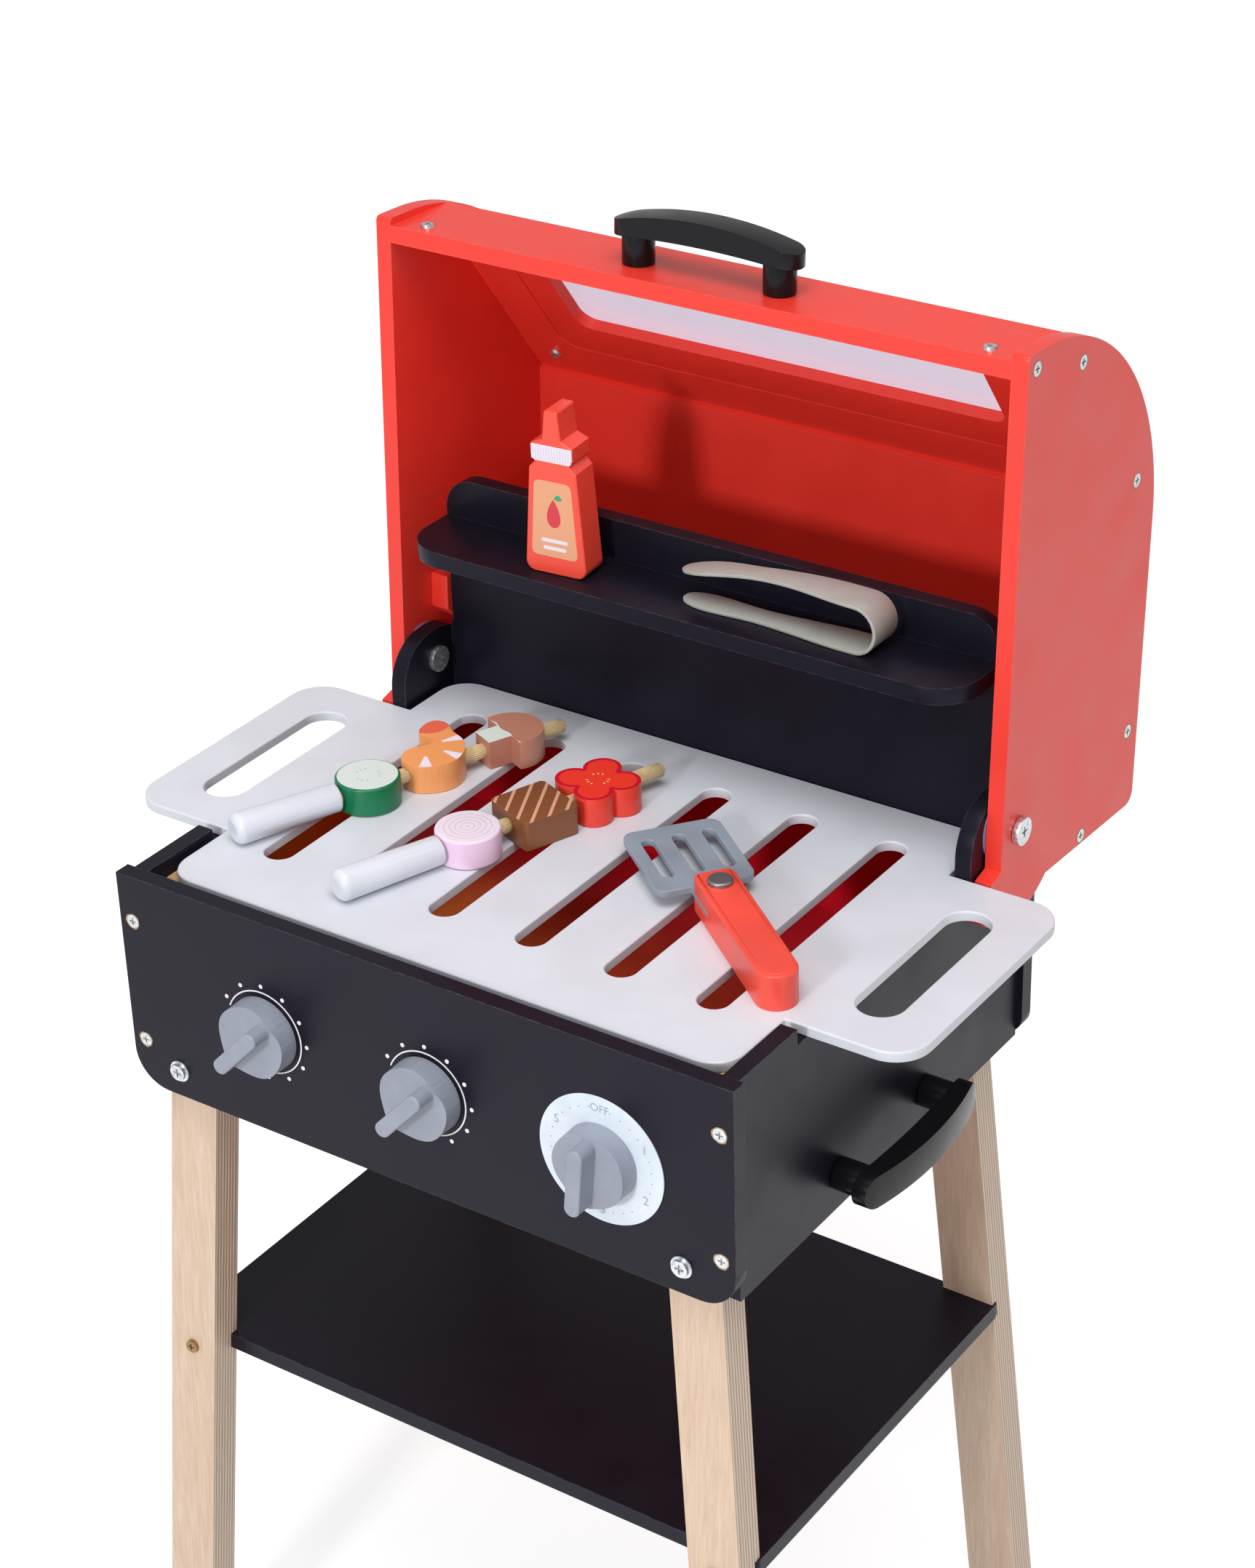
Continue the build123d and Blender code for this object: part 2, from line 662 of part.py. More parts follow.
side_screw_points = (
    (top_v0 + 9.5, (top_u0 + top_u1) / 2),
    in_window_board(win_low - 19.4, panel_t / 2),
    in_window_board(win_high + 25.9, panel_t / 2),
    (back_v0 + panel_t / 2, 6.8),
    (77.3, lid_low_u + panel_t / 2),
)


def lid_board(points):
    """Board between the lid sides with a given profile."""
    with BuildSketch(lid_plane(-lid_board_half)) as sk:
        with BuildLine():
            Polyline(*points, close=True)
        make_face()
    extrude(sk.sketch, amount=2 * lid_board_half)


def lid_pin(v, u, r, x0, x1, mode):
    with BuildSketch(lid_plane(min(x0, x1))) as sk:
        with Locations((v, u)):
            Circle(r)
    extrude(sk.sketch, amount=abs(x1 - x0), mode=mode)


def lid_edge_holes(points):
    for side in (-1, 1):
        for v, u in points:
            lid_pin(v, u, screw_r, side * lid_in, side * (lid_in - 14.5), Mode.SUBTRACT)


def lid_cone(side, v, u, mode):
    """Countersunk head in a lid side's outer face."""
    with BuildSketch(lid_plane(side * lid_out), mode=Mode.PRIVATE) as wide:
        with Locations((v, u)):
            Circle(screw_head_r)
    with BuildSketch(lid_plane(side * (lid_out - 2.25)), mode=Mode.PRIVATE) as narrow:
        with Locations((v, u)):
            Circle(screw_r)
    loft([wide.sketch, narrow.sketch], mode=mode)


def lid_side(side):
    x0 = min(side * lid_in, side * lid_out)
    arc_v = lid_rear_v - lid_arc
    arc_u = lid_top_u - lid_arc
    meet = math.degrees(math.asin(-lid_low_u / foot_r))
    start = 232.3
    foot_v = foot_r * math.cos(math.radians(start))
    foot_u = foot_r * math.sin(math.radians(start))
    meet_v = foot_r * math.cos(math.radians(-meet))
    with BuildSketch(lid_plane(x0)) as sk:
        with BuildLine():
            Polyline((foot_v, foot_u), (-28.0, -21.7), (lid_front_v, -18.7),
                     (lid_front_v, lid_top_u - 3.0))
            CenterArc((lid_front_v + 3.0, lid_top_u - 3.0), 3.0, 90, 90)
            Line((lid_front_v + 3.0, lid_top_u), (arc_v, lid_top_u))
            CenterArc((arc_v, arc_u), lid_arc, 0, 90)
            Line((lid_rear_v, arc_u), (lid_rear_v, lid_low_u + 8.0))
            CenterArc((lid_rear_v - 8.0, lid_low_u + 8.0), 8.0, 270, 90)
            Line((lid_rear_v - 8.0, lid_low_u), (meet_v, lid_low_u))
            CenterArc((0, 0), foot_r, start, 360.0 - meet - start)
        make_face()
    extrude(sk.sketch, amount=lid_out - lid_in)
    lid_pin(0, 0, bolt_r + run_gap, side * lid_in, side * lid_out, Mode.SUBTRACT)
    for v, u in side_screw_points:
        lid_pin(v, u, screw_r, side * lid_in, side * lid_out, Mode.SUBTRACT)
        lid_cone(side, v, u, Mode.SUBTRACT)


for side, name in ((-1, "lid_left_side"), (1, "lid_right_side")):
    with BuildPart() as one_side:
        lid_side(side)
    finish(one_side, name)

# Top board, drilled for the handle screws and two screws from above
top_screw = (179.0, top_v0 + 10.5)
with BuildPart() as lid_top_board:
    lid_board(((top_v0, top_u0), (win_inner_v(top_u0), top_u0), (win_inner_v(top_u1), top_u1),
               (top_v0, top_u1)))
    face = Plane(lid_point(0, lid_handle_v, top_u0), x_dir=(1, 0, 0), z_dir=lid_up)
    with BuildSketch(face):
        for s in (-1, 1):
            with Locations((s * post_pitch / 2, 0)):
                Circle(handle_screw_r)
    extrude(amount=panel_t, mode=Mode.SUBTRACT)
    with BuildSketch(Plane(lid_point(0, top_screw[1], top_u1 - 4.0), x_dir=(1, 0, 0), z_dir=lid_up)):
        for s in (-1, 1):
            with Locations((s * top_screw[0], 0)):
                Circle(screw_r)
    extrude(amount=4.0, mode=Mode.SUBTRACT)
    lid_edge_holes(side_screw_points[0:1])
finish(lid_top_board, "lid_top_board")

# Window board with an opening, a rebate for the pane and a routed groove
open_half = 142.0
open_w = (win_high + 40.9, win_low - 59.4)
groove_half = 165.0
groove_w = (win_high + 18.9, win_low - 32.4)
pane_lap = 8.0
pane_t = 3.0
win_plane = Plane(lid_point(0, win_v, win_u), x_dir=(1, 0, 0),
                  z_dir=Vector(lid_point(0, win_v + win_n[0], win_u + win_n[1]))
                  - Vector(lid_point(0, win_v, win_u)))
win_screws = ((178.7, win_low - 18.5), (178.7, win_high + 16.9))
with BuildPart() as lid_window_board:
    lid_board((
        (win_inner_v(top_u1), top_u1),
        low_in,
        low_out,
        up_out,
    ))
    with BuildSketch(win_plane):
        with Locations((0, (open_w[0] + open_w[1]) / 2)):
            RectangleRounded(2 * open_half, open_w[1] - open_w[0], 10.0)
    extrude(amount=panel_t, mode=Mode.SUBTRACT)
    with BuildSketch(win_plane.offset(panel_t - pane_t)):
        with Locations((0, (open_w[0] + open_w[1]) / 2)):
            RectangleRounded(2 * (open_half + pane_lap), open_w[1] - open_w[0] + 2 * pane_lap, 14.0)
    extrude(amount=pane_t, mode=Mode.SUBTRACT)
    with BuildSketch(win_plane):
        with Locations((0, (groove_w[0] + groove_w[1]) / 2)):
            RectangleRounded(2 * groove_half + 1.2, groove_w[1] - groove_w[0] + 1.2, 12.6)
            RectangleRounded(2 * groove_half - 1.2, groove_w[1] - groove_w[0] - 1.2, 11.4,
                             mode=Mode.SUBTRACT)
    extrude(amount=1.2, mode=Mode.SUBTRACT)
    with BuildSketch(win_plane):
        for x, w in win_screws:
            with Locations((x, w), (-x, w)):
                Circle(screw_r)
    extrude(amount=7.0, mode=Mode.SUBTRACT)
    lid_edge_holes(side_screw_points[1:3])
finish(lid_window_board, "lid_window_board")

with BuildPart() as window_pane:
    with BuildSketch(win_plane.offset(panel_t - pane_t)):
        with Locations((0, (open_w[0] + open_w[1]) / 2)):
            RectangleRounded(2 * (open_half + pane_lap), open_w[1] - open_w[0] + 2 * pane_lap, 14.0)
    extrude(amount=pane_t)
finish(window_pane, "window_pane")

bottom_v0 = 28.5
bottom_u1 = lid_low_u + panel_t
with BuildPart() as lid_back_board:
    lid_board(((back_v0, bottom_u1), (back_v1, bottom_u1), back_top_out, back_top_in))
    lid_edge_holes(side_screw_points[3:4])
finish(lid_back_board, "lid_back_board")

with BuildPart() as lid_bottom_board:
    lid_board(((bottom_v0, lid_low_u), (back_v1, lid_low_u), (back_v1, bottom_u1),
               (bottom_v0, bottom_u1)))
    lid_edge_holes(side_screw_points[4:5])
finish(lid_bottom_board, "lid_bottom_board")

# Stop blocks inside the lid sides; they come to rest on the ears
for side, name in ((-1, "left_stop_block"), (1, "right_stop_block")):
    with BuildPart() as stop_block:
        x0 = min(side * lid_in, side * (lid_in - 12.0))
        with BuildSketch(lid_plane(x0)):
            with BuildLine():
                Polyline((10.0, 28.0), (16.5, 22.0), (35.0, 22.0), (35.0, 49.6), (10.0, 49.6), close=True)
            make_face()
        extrude(amount=12.0)
    finish(stop_block, name)

# Lid screws
with BuildPart() as lid_side_screws:
    for side in (-1, 1):
        for v, u in side_screw_points:
            lid_cone(side, v, u, Mode.ADD)
            lid_pin(v, u, screw_r, side * (lid_out - 2.2), side * (lid_in - 14.0), Mode.ADD)
            x_face = side * lid_out
            with BuildSketch(lid_plane(x_face)):
                with Locations((v, u)):
                    Rectangle(4.4, 1.0)
                    Rectangle(1.0, 4.4)
            extrude(amount=-side * 1.2, mode=Mode.SUBTRACT)
finish(lid_side_screws, "lid_side_screws")


def button_screws(plane, spots, depth):
    """Round-headed screws on a face: shank below, flat dome above, cross recess."""
    with BuildSketch(plane.offset(-depth)) as sk:
        with Locations(*spots):
            Circle(screw_r)
    extrude(sk.sketch, amount=depth)
    with BuildSketch(plane) as sk:
        with Locations(*spots):
            Circle(screw_head_r)
    extrude(sk.sketch, amount=1.6, taper=20.0)
    with BuildSketch(plane.offset(0.6)) as sk:
        with Locations(*spots):
            Rectangle(4.0, 0.9)
            Rectangle(0.9, 4.0)
    extrude(sk.sketch, amount=1.4, mode=Mode.SUBTRACT)


with BuildPart() as lid_button_screws:
    top_face = Plane(lid_point(0, top_screw[1], top_u1), x_dir=(1, 0, 0), z_dir=lid_up)
    button_screws(top_face, ((top_screw[0], 0), (-top_screw[0], 0)), 4.0)
    inner_face = Plane(win_plane.origin, x_dir=(-1, 0, 0), z_dir=-win_plane.z_dir)
    spots = [(x, w) for x, w in win_screws] + [(-x, w) for x, w in win_screws]
    button_screws(inner_face, spots, 7.0)
finish(lid_button_screws, "lid_button_screws")

# Skewers lie on the grate. Each has its own frame: x along the stick, y to the left.
axis_z = grate_top + rest_gap + 9.4
food_z0 = grate_top + rest_gap
food_t = 17.5
stick_r = 4.0
handle_len = 65.0
handle_r = 9.4
handle_dome = 5.0


def skewer_frame(x, y, angle, z):
    a = math.radians(angle)
    return Plane((x, fy(y), hz(z)), x_dir=(math.cos(a), math.sin(a), 0), z_dir=(0, 0, 1))


def skewer_handle(x, y, angle):
    base = skewer_frame(x, y, angle, axis_z)
    with BuildSketch(Plane(base.origin, x_dir=base.x_dir, z_dir=base.y_dir)) as sk:
        with BuildLine():
            Polyline((handle_dome, handle_r), (handle_len, handle_r - 1.0), (handle_len, 0), (0, 0),
                     (0, handle_r - handle_dome))
            ThreePointArc((0, handle_r - handle_dome), (handle_dome * 0.293, handle_r - handle_dome * 0.293),
                          (handle_dome, handle_r))
        make_face()
    revolve(sk.sketch, axis=Axis(base.origin, base.x_dir))


def rod(x, y, angle, r, t0, t1, mode):
    base = skewer_frame(x, y, angle, axis_z)
    start = base.origin + base.x_dir * t0
    with BuildSketch(Plane(start, x_dir=base.y_dir, z_dir=base.x_dir)) as sk:
        Circle(r)
    extrude(sk.sketch, amount=t1 - t0, mode=mode)


prawn_outline = (
    (110.0, -3.0), (112.9, 9.5), (121.8, 13.0), (130.9, 11.4), (137.6, 16.7), (133.3, 24.8),
    (138.3, 32.1), (149.0, 34.0), (152.5, 28.0), (150.8, 19.0), (150.6, 7.0), (146.1, -4.6),
    (131.5, -14.5), (117.0, -11.4),
)
skewers = (
    ("skewer_1", (-168.5, 62.0, 66.5)),
    ("skewer_2", (-81.5, 44.0, 69.0)),
)
stick_end = 215.0


def food(place, shape):
    """One wooden food piece, drilled for the stick."""
    with BuildSketch(skewer_frame(*place, food_z0)) as plan:
        if shape == "cucumber":
            with Locations((85.3, 0.0)):
                Circle(18.7)
        if shape == "prawn":
            with BuildLine():
                Spline(*prawn_outline, periodic=True)
            make_face()
        if shape == "mushroom":
            with BuildLine():
                Line((175.0, 19.5), (175.0, -17.0))
                ThreePointArc((175.0, -17.0), (199.0, 1.2), (175.0, 19.5))
            make_face()
            with Locations((170.0, 0.5)):
                Rectangle(19.0, 15.5)
        if shape == "onion":
            with Locations((84.4, 0.0)):
                Circle(18.5)
        if shape == "meat":
            with Locations((128.3, 0.3)):
                RectangleRounded(35.6, 36.6, 3.0)
        if shape == "pepper":
            for sx in (-1, 1):
                for sy in (-1, 1):
                    with Locations((171.1 + sx * 9.5, 0.5 + sy * 9.5)):
                        Circle(11.0)
            with Locations((171.1, 0.5)):
                Rectangle(22.0, 22.0)
    solid = extrude(plan.sketch, amount=food_t)
    rim = solid.edges().filter_by(GeomType.CIRCLE)
    if shape in ("cucumber", "onion"):
        fillet(rim, 1.5)
    rod(*place, stick_r, 60.0, stick_end + 10.0, Mode.SUBTRACT)


for name, place in skewers:
    with BuildPart() as skewer_grip:
        skewer_handle(*place)
        rod(*place, stick_r, handle_len - 25.0, handle_len + 1.0, Mode.SUBTRACT)
    finish(skewer_grip, name + "_handle")
    with BuildPart() as skewer_stick:
        rod(*place, stick_r, handle_len - 25.0, stick_end, Mode.ADD)
        chamfer(skewer_stick.faces().sort_by(Axis.Y)[-1].edges(), 1.5)
    finish(skewer_stick, name + "_stick")

for shape, place in (
    ("cucumber", skewers[0][1]), ("prawn", skewers[0][1]), ("mushroom", skewers[0][1]),
    ("onion", skewers[1][1]), ("meat", skewers[1][1]), ("pepper", skewers[1][1]),
):
    with BuildPart() as food_piece:
        food(place, shape)
    finish(food_piece, shape + "_slice" if shape in ("cucumber", "onion", "pepper") else shape + "_piece")

# Spatula: slotted blade held in the handle by a pin
spat = (110.5, 134.0, -38.2)
spat_len = 112.0
spat_w = 23.0
spat_h = 20.4
blade_z0 = 7.0
blade_t = 4.0
tongue_in = 26.0


def spat_plane(z):
    return skewer_frame(*spat, grate_top + rest_gap + z)


with BuildPart() as spatula_handle:
    with BuildSketch(spat_plane(0)) as outline:
        with Locations((spat_len / 2 - 25.0, 0)):
            SlotOverall(spat_len, spat_w)
        with Locations((5.0, 0)):
            Rectangle(60.0, spat_w)
        fillet(outline.vertices().group_by(Axis.X)[0], 5.0)
    extrude(amount=spat_h)
    fillet(spatula_handle.edges().group_by(Axis.Z)[-1], 1.2)
    with BuildSketch(spat_plane(blade_z0)):
        with Locations((-25.0 + tongue_in / 2, 0)):
            Rectangle(tongue_in, spat_w + 2.0)
    extrude(amount=blade_t, mode=Mode.SUBTRACT)
    with BuildSketch(spat_plane(0)):
        with Locations((-11.6, 0)):
            Circle(2.5)
    extrude(amount=spat_h, mode=Mode.SUBTRACT)
finish(spatula_handle, "spatula_handle")

with BuildPart() as spatula_blade:
    with BuildSketch(spat_plane(blade_z0)) as outline:
        with Locations((-60.5, -1.8)):
            RectangleRounded(67.0, 56.0, 7.0)
        with Locations((-60.5 + 33.5 + 14.0 - 0.5, 0)):
            Rectangle(29.0, spat_w - 1.0)
        for y in (-18.5, -1.0, 16.5):
            with Locations((-62.0, y)):
                SlotOverall(42.0, 7.5, mode=Mode.SUBTRACT)
        with Locations((-11.6, 0)):
            Circle(2.5, mode=Mode.SUBTRACT)
    extrude(amount=blade_t)
finish(spatula_blade, "spatula_blade")

with BuildPart() as spatula_pin:
    with BuildSketch(spat_plane(0)):
        with Locations((-11.6, 0)):
            Circle(2.5)
    extrude(amount=spat_h)
    with BuildSketch(spat_plane(spat_h)):
        with Locations((-11.6, 0)):
            Circle(7.0)
    extrude(amount=2.6)
    fillet(spatula_pin.edges().group_by(Axis.Z)[-1], 1.2)
finish(spatula_pin, "spatula_pin")

# Tongs: one bent strip lying on its edge line along the shelf
tong_y0 = shelf_front + 13.0
tong_w = 24.0
tong_t = 2.0
tong_z0 = shelf_top + rest_gap
tong_bend_x = 113.0
tong_tip_x = -3.0
leaf_edge = (
    (0.2, 0.0),
    (7.0, 7.2),
    (20.0, 9.0),
    (46.0, 7.2),
    (78.0, 9.4),
    (108.0, tong_w / 2),
)
with BuildPart() as tongs:
    with BuildSketch(Plane((0, fy(tong_y0), 0), x_dir=(1, 0, 0), z_dir=(0, -1, 0))):
        with BuildLine() as centre:
            low = hz(tong_z0 + tong_t / 2)
            Line((tong_tip_x, low), (tong_bend_x, low))
            ThreePointArc((tong_bend_x, low), (tong_bend_x + 13.0, low + 13.6), (tong_bend_x, low + 27.2))
            Spline((tong_bend_x, low + 27.2), (70.0, low + 28.0), (30.0, low + 24.0),
                   (tong_tip_x, low + 17.5), tangents=((-1, 0), (-1, -0.25)))
        trace(centre.line, line_width=tong_t)
    extrude(amount=-tong_w)
    with BuildSketch(Plane((tong_tip_x, fy(tong_y0 + tong_w / 2), hz(tong_z0 - 1.0)))) as leaf:
        with BuildLine():
            Spline(*leaf_edge, tangents=((0, 1), (1, 0)))
            Line(leaf_edge[-1], (150.0, tong_w / 2))
            Line((150.0, tong_w / 2), (150.0, -tong_w / 2))
            Line((150.0, -tong_w / 2), (leaf_edge[-1][0], -tong_w / 2))
            Spline(*[(x, -y) for x, y in reversed(leaf_edge)], tangents=((-1, 0), (0, 1)))
        make_face()
    extrude(leaf.sketch, amount=50.0, mode=Mode.INTERSECT)
finish(tongs, "tongs")

# Bottle: one thick board cut to a bottle's outline, with rounded edges
bottle_x = -82.2
bottle_y = shelf_front + 21.4
bottle_turn = 5.0
bottle_t = 20.0
bottle_half = 20.0
shoulder_half = 15.2
neck_half = 11.3
collar_half = 13.4
nozzle_half = (6.0, 4.2)
shoulder_up = 64.3
neck_up = 68.4
collar_up = (71.8, 79.4)
nozzle_up = (82.6, 100.0)
bottle_face = Plane(
    (bottle_x, fy(bottle_y), hz(shelf_top + rest_gap)),
    x_dir=(math.cos(math.radians(bottle_turn)), math.sin(math.radians(bottle_turn)), 0),
    z_dir=(math.sin(math.radians(bottle_turn)), -math.cos(math.radians(bottle_turn)), 0),
)
with BuildPart() as bottle_body:
    with BuildSketch(bottle_face.offset(-bottle_t / 2)) as outline:
        with BuildLine():
            half_line = (
                (bottle_half, 0.0), (shoulder_half, shoulder_up), (neck_half, neck_up),
                (collar_half, collar_up[0]), (collar_half, collar_up[1]),
                (nozzle_half[0], nozzle_up[0]), (nozzle_half[1], nozzle_up[1]),
            )
            Polyline(*half_line, *[(-x, up) for x, up in reversed(half_line)], close=True)
        make_face()
        fillet(outline.vertices().group_by(Axis.Y)[0], 6.0)
        fillet(outline.vertices().group_by(Axis.Y)[-1], 1.5)
    extrude(outline.sketch, amount=bottle_t)
    flats = bottle_body.faces().filter_by(lambda f: abs(f.normal_at().dot(bottle_face.z_dir)) > 0.99)
    chamfer(flats.edges(), 0.7)
finish(bottle_body, "bottle_body")
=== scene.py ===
import math

import bmesh
import bpy
from bpy.props import (
    FloatProperty,
    FloatVectorProperty,
    IntProperty,
    PointerProperty,
    StringProperty,
)
from mathutils import Matrix, Vector


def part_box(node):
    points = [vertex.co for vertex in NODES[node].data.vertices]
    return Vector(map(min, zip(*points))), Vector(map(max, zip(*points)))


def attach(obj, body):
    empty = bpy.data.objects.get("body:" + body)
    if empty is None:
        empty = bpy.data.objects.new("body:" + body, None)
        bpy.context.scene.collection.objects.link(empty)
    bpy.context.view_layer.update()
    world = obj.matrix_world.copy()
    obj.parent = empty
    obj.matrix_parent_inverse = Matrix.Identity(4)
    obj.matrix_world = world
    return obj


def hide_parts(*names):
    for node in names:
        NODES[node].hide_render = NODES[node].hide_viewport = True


bl_info = {
    "name": "Toy barbecue grill",
    "version": (1, 0, 0),
    "blender": (4, 5, 0),
    "location": "View3D > Sidebar > Barbecue grill",
    "description": "Paints and details a toy barbecue grill around its solid model",
    "category": "Object",
}

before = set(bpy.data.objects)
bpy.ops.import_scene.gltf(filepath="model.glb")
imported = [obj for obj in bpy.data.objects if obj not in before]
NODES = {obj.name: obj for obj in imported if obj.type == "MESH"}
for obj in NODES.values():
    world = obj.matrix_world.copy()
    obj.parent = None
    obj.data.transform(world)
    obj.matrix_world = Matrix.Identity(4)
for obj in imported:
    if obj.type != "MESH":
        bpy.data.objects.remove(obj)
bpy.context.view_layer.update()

# Places worked out from the solids, in metres
PANEL_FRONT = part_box("front_panel")[0][1]
BOX_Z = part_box("front_panel")[0][2]
PIVOT = Vector((0.0, PANEL_FRONT + 0.2745, BOX_Z + 0.1503))
LEAN = math.radians(2.6)
LID_BACK = Vector((0.0, math.cos(LEAN), -math.sin(LEAN)))
LID_UP = Vector((0.0, math.sin(LEAN), math.cos(LEAN)))


def here(x, y, z):
    """Millimetres from the firebox's front lower edge to metres in the row frame."""
    return Vector((x / 1000, PANEL_FRONT + y / 1000, BOX_Z + z / 1000))


def in_lid(x, v, u):
    """Millimetres back and up from the hinge, leaning with the lid, to metres."""
    return PIVOT + Vector((x / 1000, 0, 0)) + LID_BACK * (v / 1000) + LID_UP * (u / 1000)


# Colour and material helpers

def linear(hex_colour):
    """sRGB hex, as a paint chip is read, to the linear colour Blender mixes."""
    h = hex_colour.lstrip("#")
    out = []
    for i in (0, 2, 4):
        c = int(h[i:i + 2], 16) / 255
        out.append(c / 12.92 if c <= 0.04045 else ((c + 0.055) / 1.055) ** 2.4)
    return (*out, 1.0)


def shades(colour, tone):
    """A colour a little darker and a little lighter."""
    base = linear(colour)[:3]
    return tuple(c * (1 - tone) for c in base) + (1.0,), tuple(min(1.0, c * (1 + tone)) for c in base) + (1.0,)


def feed(tree, value, socket):
    """A number, tuple, vector or sRGB hex, or another node's socket, into an input."""
    if isinstance(value, str):
        value = linear(value)
    if isinstance(value, (int, float, tuple, Vector)):
        socket.default_value = value
    else:
        tree.links.new(value, socket)


def add(tree, kind, settings=(), inputs=()):
    """One node with its settings and what goes into its inputs."""
    node = tree.nodes.new(kind)
    for key, value in dict(settings).items():
        setattr(node, key, value)
    for key, value in dict(inputs).items():
        feed(tree, value, node.inputs[key])
    return node


def new_material(name):
    m = bpy.data.materials.new(name)
    m.use_nodes = True
    t = m.node_tree
    t.nodes.clear()
    return m, t


def millimetres(t, stretch=(1, 1, 1)):
    """Object coordinates in millimetres, stretched for a pattern."""
    where = add(t, "ShaderNodeTexCoord")
    return add(t, "ShaderNodeMapping", {}, {
        "Scale": tuple(1000 * s for s in stretch), "Vector": where.outputs["Object"]}).outputs["Vector"]


def axes(t, vector=None):
    """X, Y and Z of a vector, or of the object coordinates in metres."""
    if vector is None:
        vector = add(t, "ShaderNodeTexCoord").outputs["Object"]
    return add(t, "ShaderNodeSeparateXYZ", {}, {"Vector": vector}).outputs


def facing(t):
    """X, Y and Z of the surface normal."""
    return axes(t, add(t, "ShaderNodeNewGeometry").outputs["Normal"])


def noise(t, where, size_mm, detail=3.0, rough=0.55, distortion=0.0):
    """Grey noise whose blobs are about size_mm across."""
    return add(t, "ShaderNodeTexNoise", {"noise_dimensions": "3D"}, {
        "Scale": 1.0 / size_mm, "Detail": detail, "Roughness": rough, "Distortion": distortion,
        "Vector": where}).outputs["Fac"]


def ramp(t, value, low, high, to_low=0.0, to_high=1.0, smooth=False):
    """value carried from low..high to to_low..to_high, and held there outside."""
    return add(t, "ShaderNodeMapRange", {
        "interpolation_type": "SMOOTHSTEP" if smooth else "LINEAR"}, {
        "From Min": low, "From Max": high, "To Min": to_low, "To Max": to_high,
        "Value": value}).outputs["Result"]


def figure(t, kind, a, b=None):
    """Math node on one or two values or sockets."""
    inputs = {0: a} if b is None else {0: a, 1: b}
    return add(t, "ShaderNodeMath", {"operation": kind}, inputs).outputs[0]


def blend(t, factor, a, b):
    """Mix of two colours or sockets."""
    return add(t, "ShaderNodeMix", {"data_type": "RGBA"}, {0: factor, 6: a, 7: b}).outputs[2]


def edge_mask(t, radius_mm, low=0.004, high=0.12):
    """1 on edges, where hands and knocks reach and where edges catch the light, from the angle a rounded edge would
    turn.
    """
    soft = add(t, "ShaderNodeBevel", {"samples": 6}, {"Radius": radius_mm / 1000})
    hard = add(t, "ShaderNodeNewGeometry")
    dot = add(t, "ShaderNodeVectorMath", {"operation": "DOT_PRODUCT"},
              {0: soft.outputs["Normal"], 1: hard.outputs["Normal"]})
    return ramp(t, figure(t, "SUBTRACT", 1.0, dot.outputs["Value"]), low, high)


def surface(t, colour, rough, bump, bump_mm, **sockets):
    """Principled shader to the output. colour and rough are values or sockets."""
    relief = add(t, "ShaderNodeBump", {}, {"Strength": 1.0, "Distance": bump_mm / 1000, "Height": bump})
    shader = add(t, "ShaderNodeBsdfPrincipled", {}, {
        "Base Color": colour, "Roughness": rough, "Normal": relief.outputs["Normal"], **sockets})
    add(t, "ShaderNodeOutputMaterial", {}, {"Surface": shader.outputs[0]})


def plan_of(t, place):
    """Millimetres along and to the left of a piece that lies on the grate, and 1 on level faces."""
    x, y, angle = place
    where = add(t, "ShaderNodeTexCoord")
    moved = add(t, "ShaderNodeVectorMath", {"operation": "SUBTRACT"},
                {0: where.outputs["Object"], 1: here(x, y, 0)})
    turned = add(t, "ShaderNodeVectorRotate", {"rotation_type": "Z_AXIS"},
                 {"Angle": -math.radians(angle), "Vector": moved.outputs[0]})
    axis = axes(t, turned.outputs[0])
    along = figure(t, "MULTIPLY", axis["X"], 1000.0)
    left = figure(t, "MULTIPLY", axis["Y"], 1000.0)
    level = ramp(t, figure(t, "ABSOLUTE", facing(t)["Z"]), 0.72, 0.8)
    return along, left, level


def length(t, a, b):
    """Length of the flat vector a, b."""
    return figure(t, "SQRT", figure(t, "ADD", figure(t, "MULTIPLY", a, a), figure(t, "MULTIPLY", b, b)))


def from_middle(t, value):
    """0 in the middle of each whole step of value, 0.5 at its ends."""
    return figure(t, "ABSOLUTE", figure(t, "SUBTRACT", figure(t, "FRACT", value), 0.5))


def any_of(t, masks):
    """1 where one of the masks is 1."""
    out = masks[0]
    for m in masks[1:]:
        out = figure(t, "MAXIMUM", out, m)
    return out


def distance(t, along, left, a, b):
    """Distance in the plan from the point a, b."""
    return length(t, figure(t, "SUBTRACT", along, a), figure(t, "SUBTRACT", left, b))


def ahead_and_aside(t, along, left, a, b, degrees):
    """How far ahead and to the left of the point a, b, as it looks in a direction."""
    c, s = math.cos(math.radians(degrees)), math.sin(math.radians(degrees))
    da, db = figure(t, "SUBTRACT", along, a), figure(t, "SUBTRACT", left, b)
    return (figure(t, "ADD", figure(t, "MULTIPLY", da, c), figure(t, "MULTIPLY", db, s)),
            figure(t, "SUBTRACT", figure(t, "MULTIPLY", db, c), figure(t, "MULTIPLY", da, s)))


def inside(t, value, limit, soft=0.25):
    """1 where value is under the limit, with a printed edge about soft wide."""
    return ramp(t, value, limit - soft / 2, limit + soft / 2, 1.0, 0.0)


def both(t, *masks):
    """1 where every mask is 1."""
    out = masks[0]
    for m in masks[1:]:
        out = figure(t, "MULTIPLY", out, m)
    return out


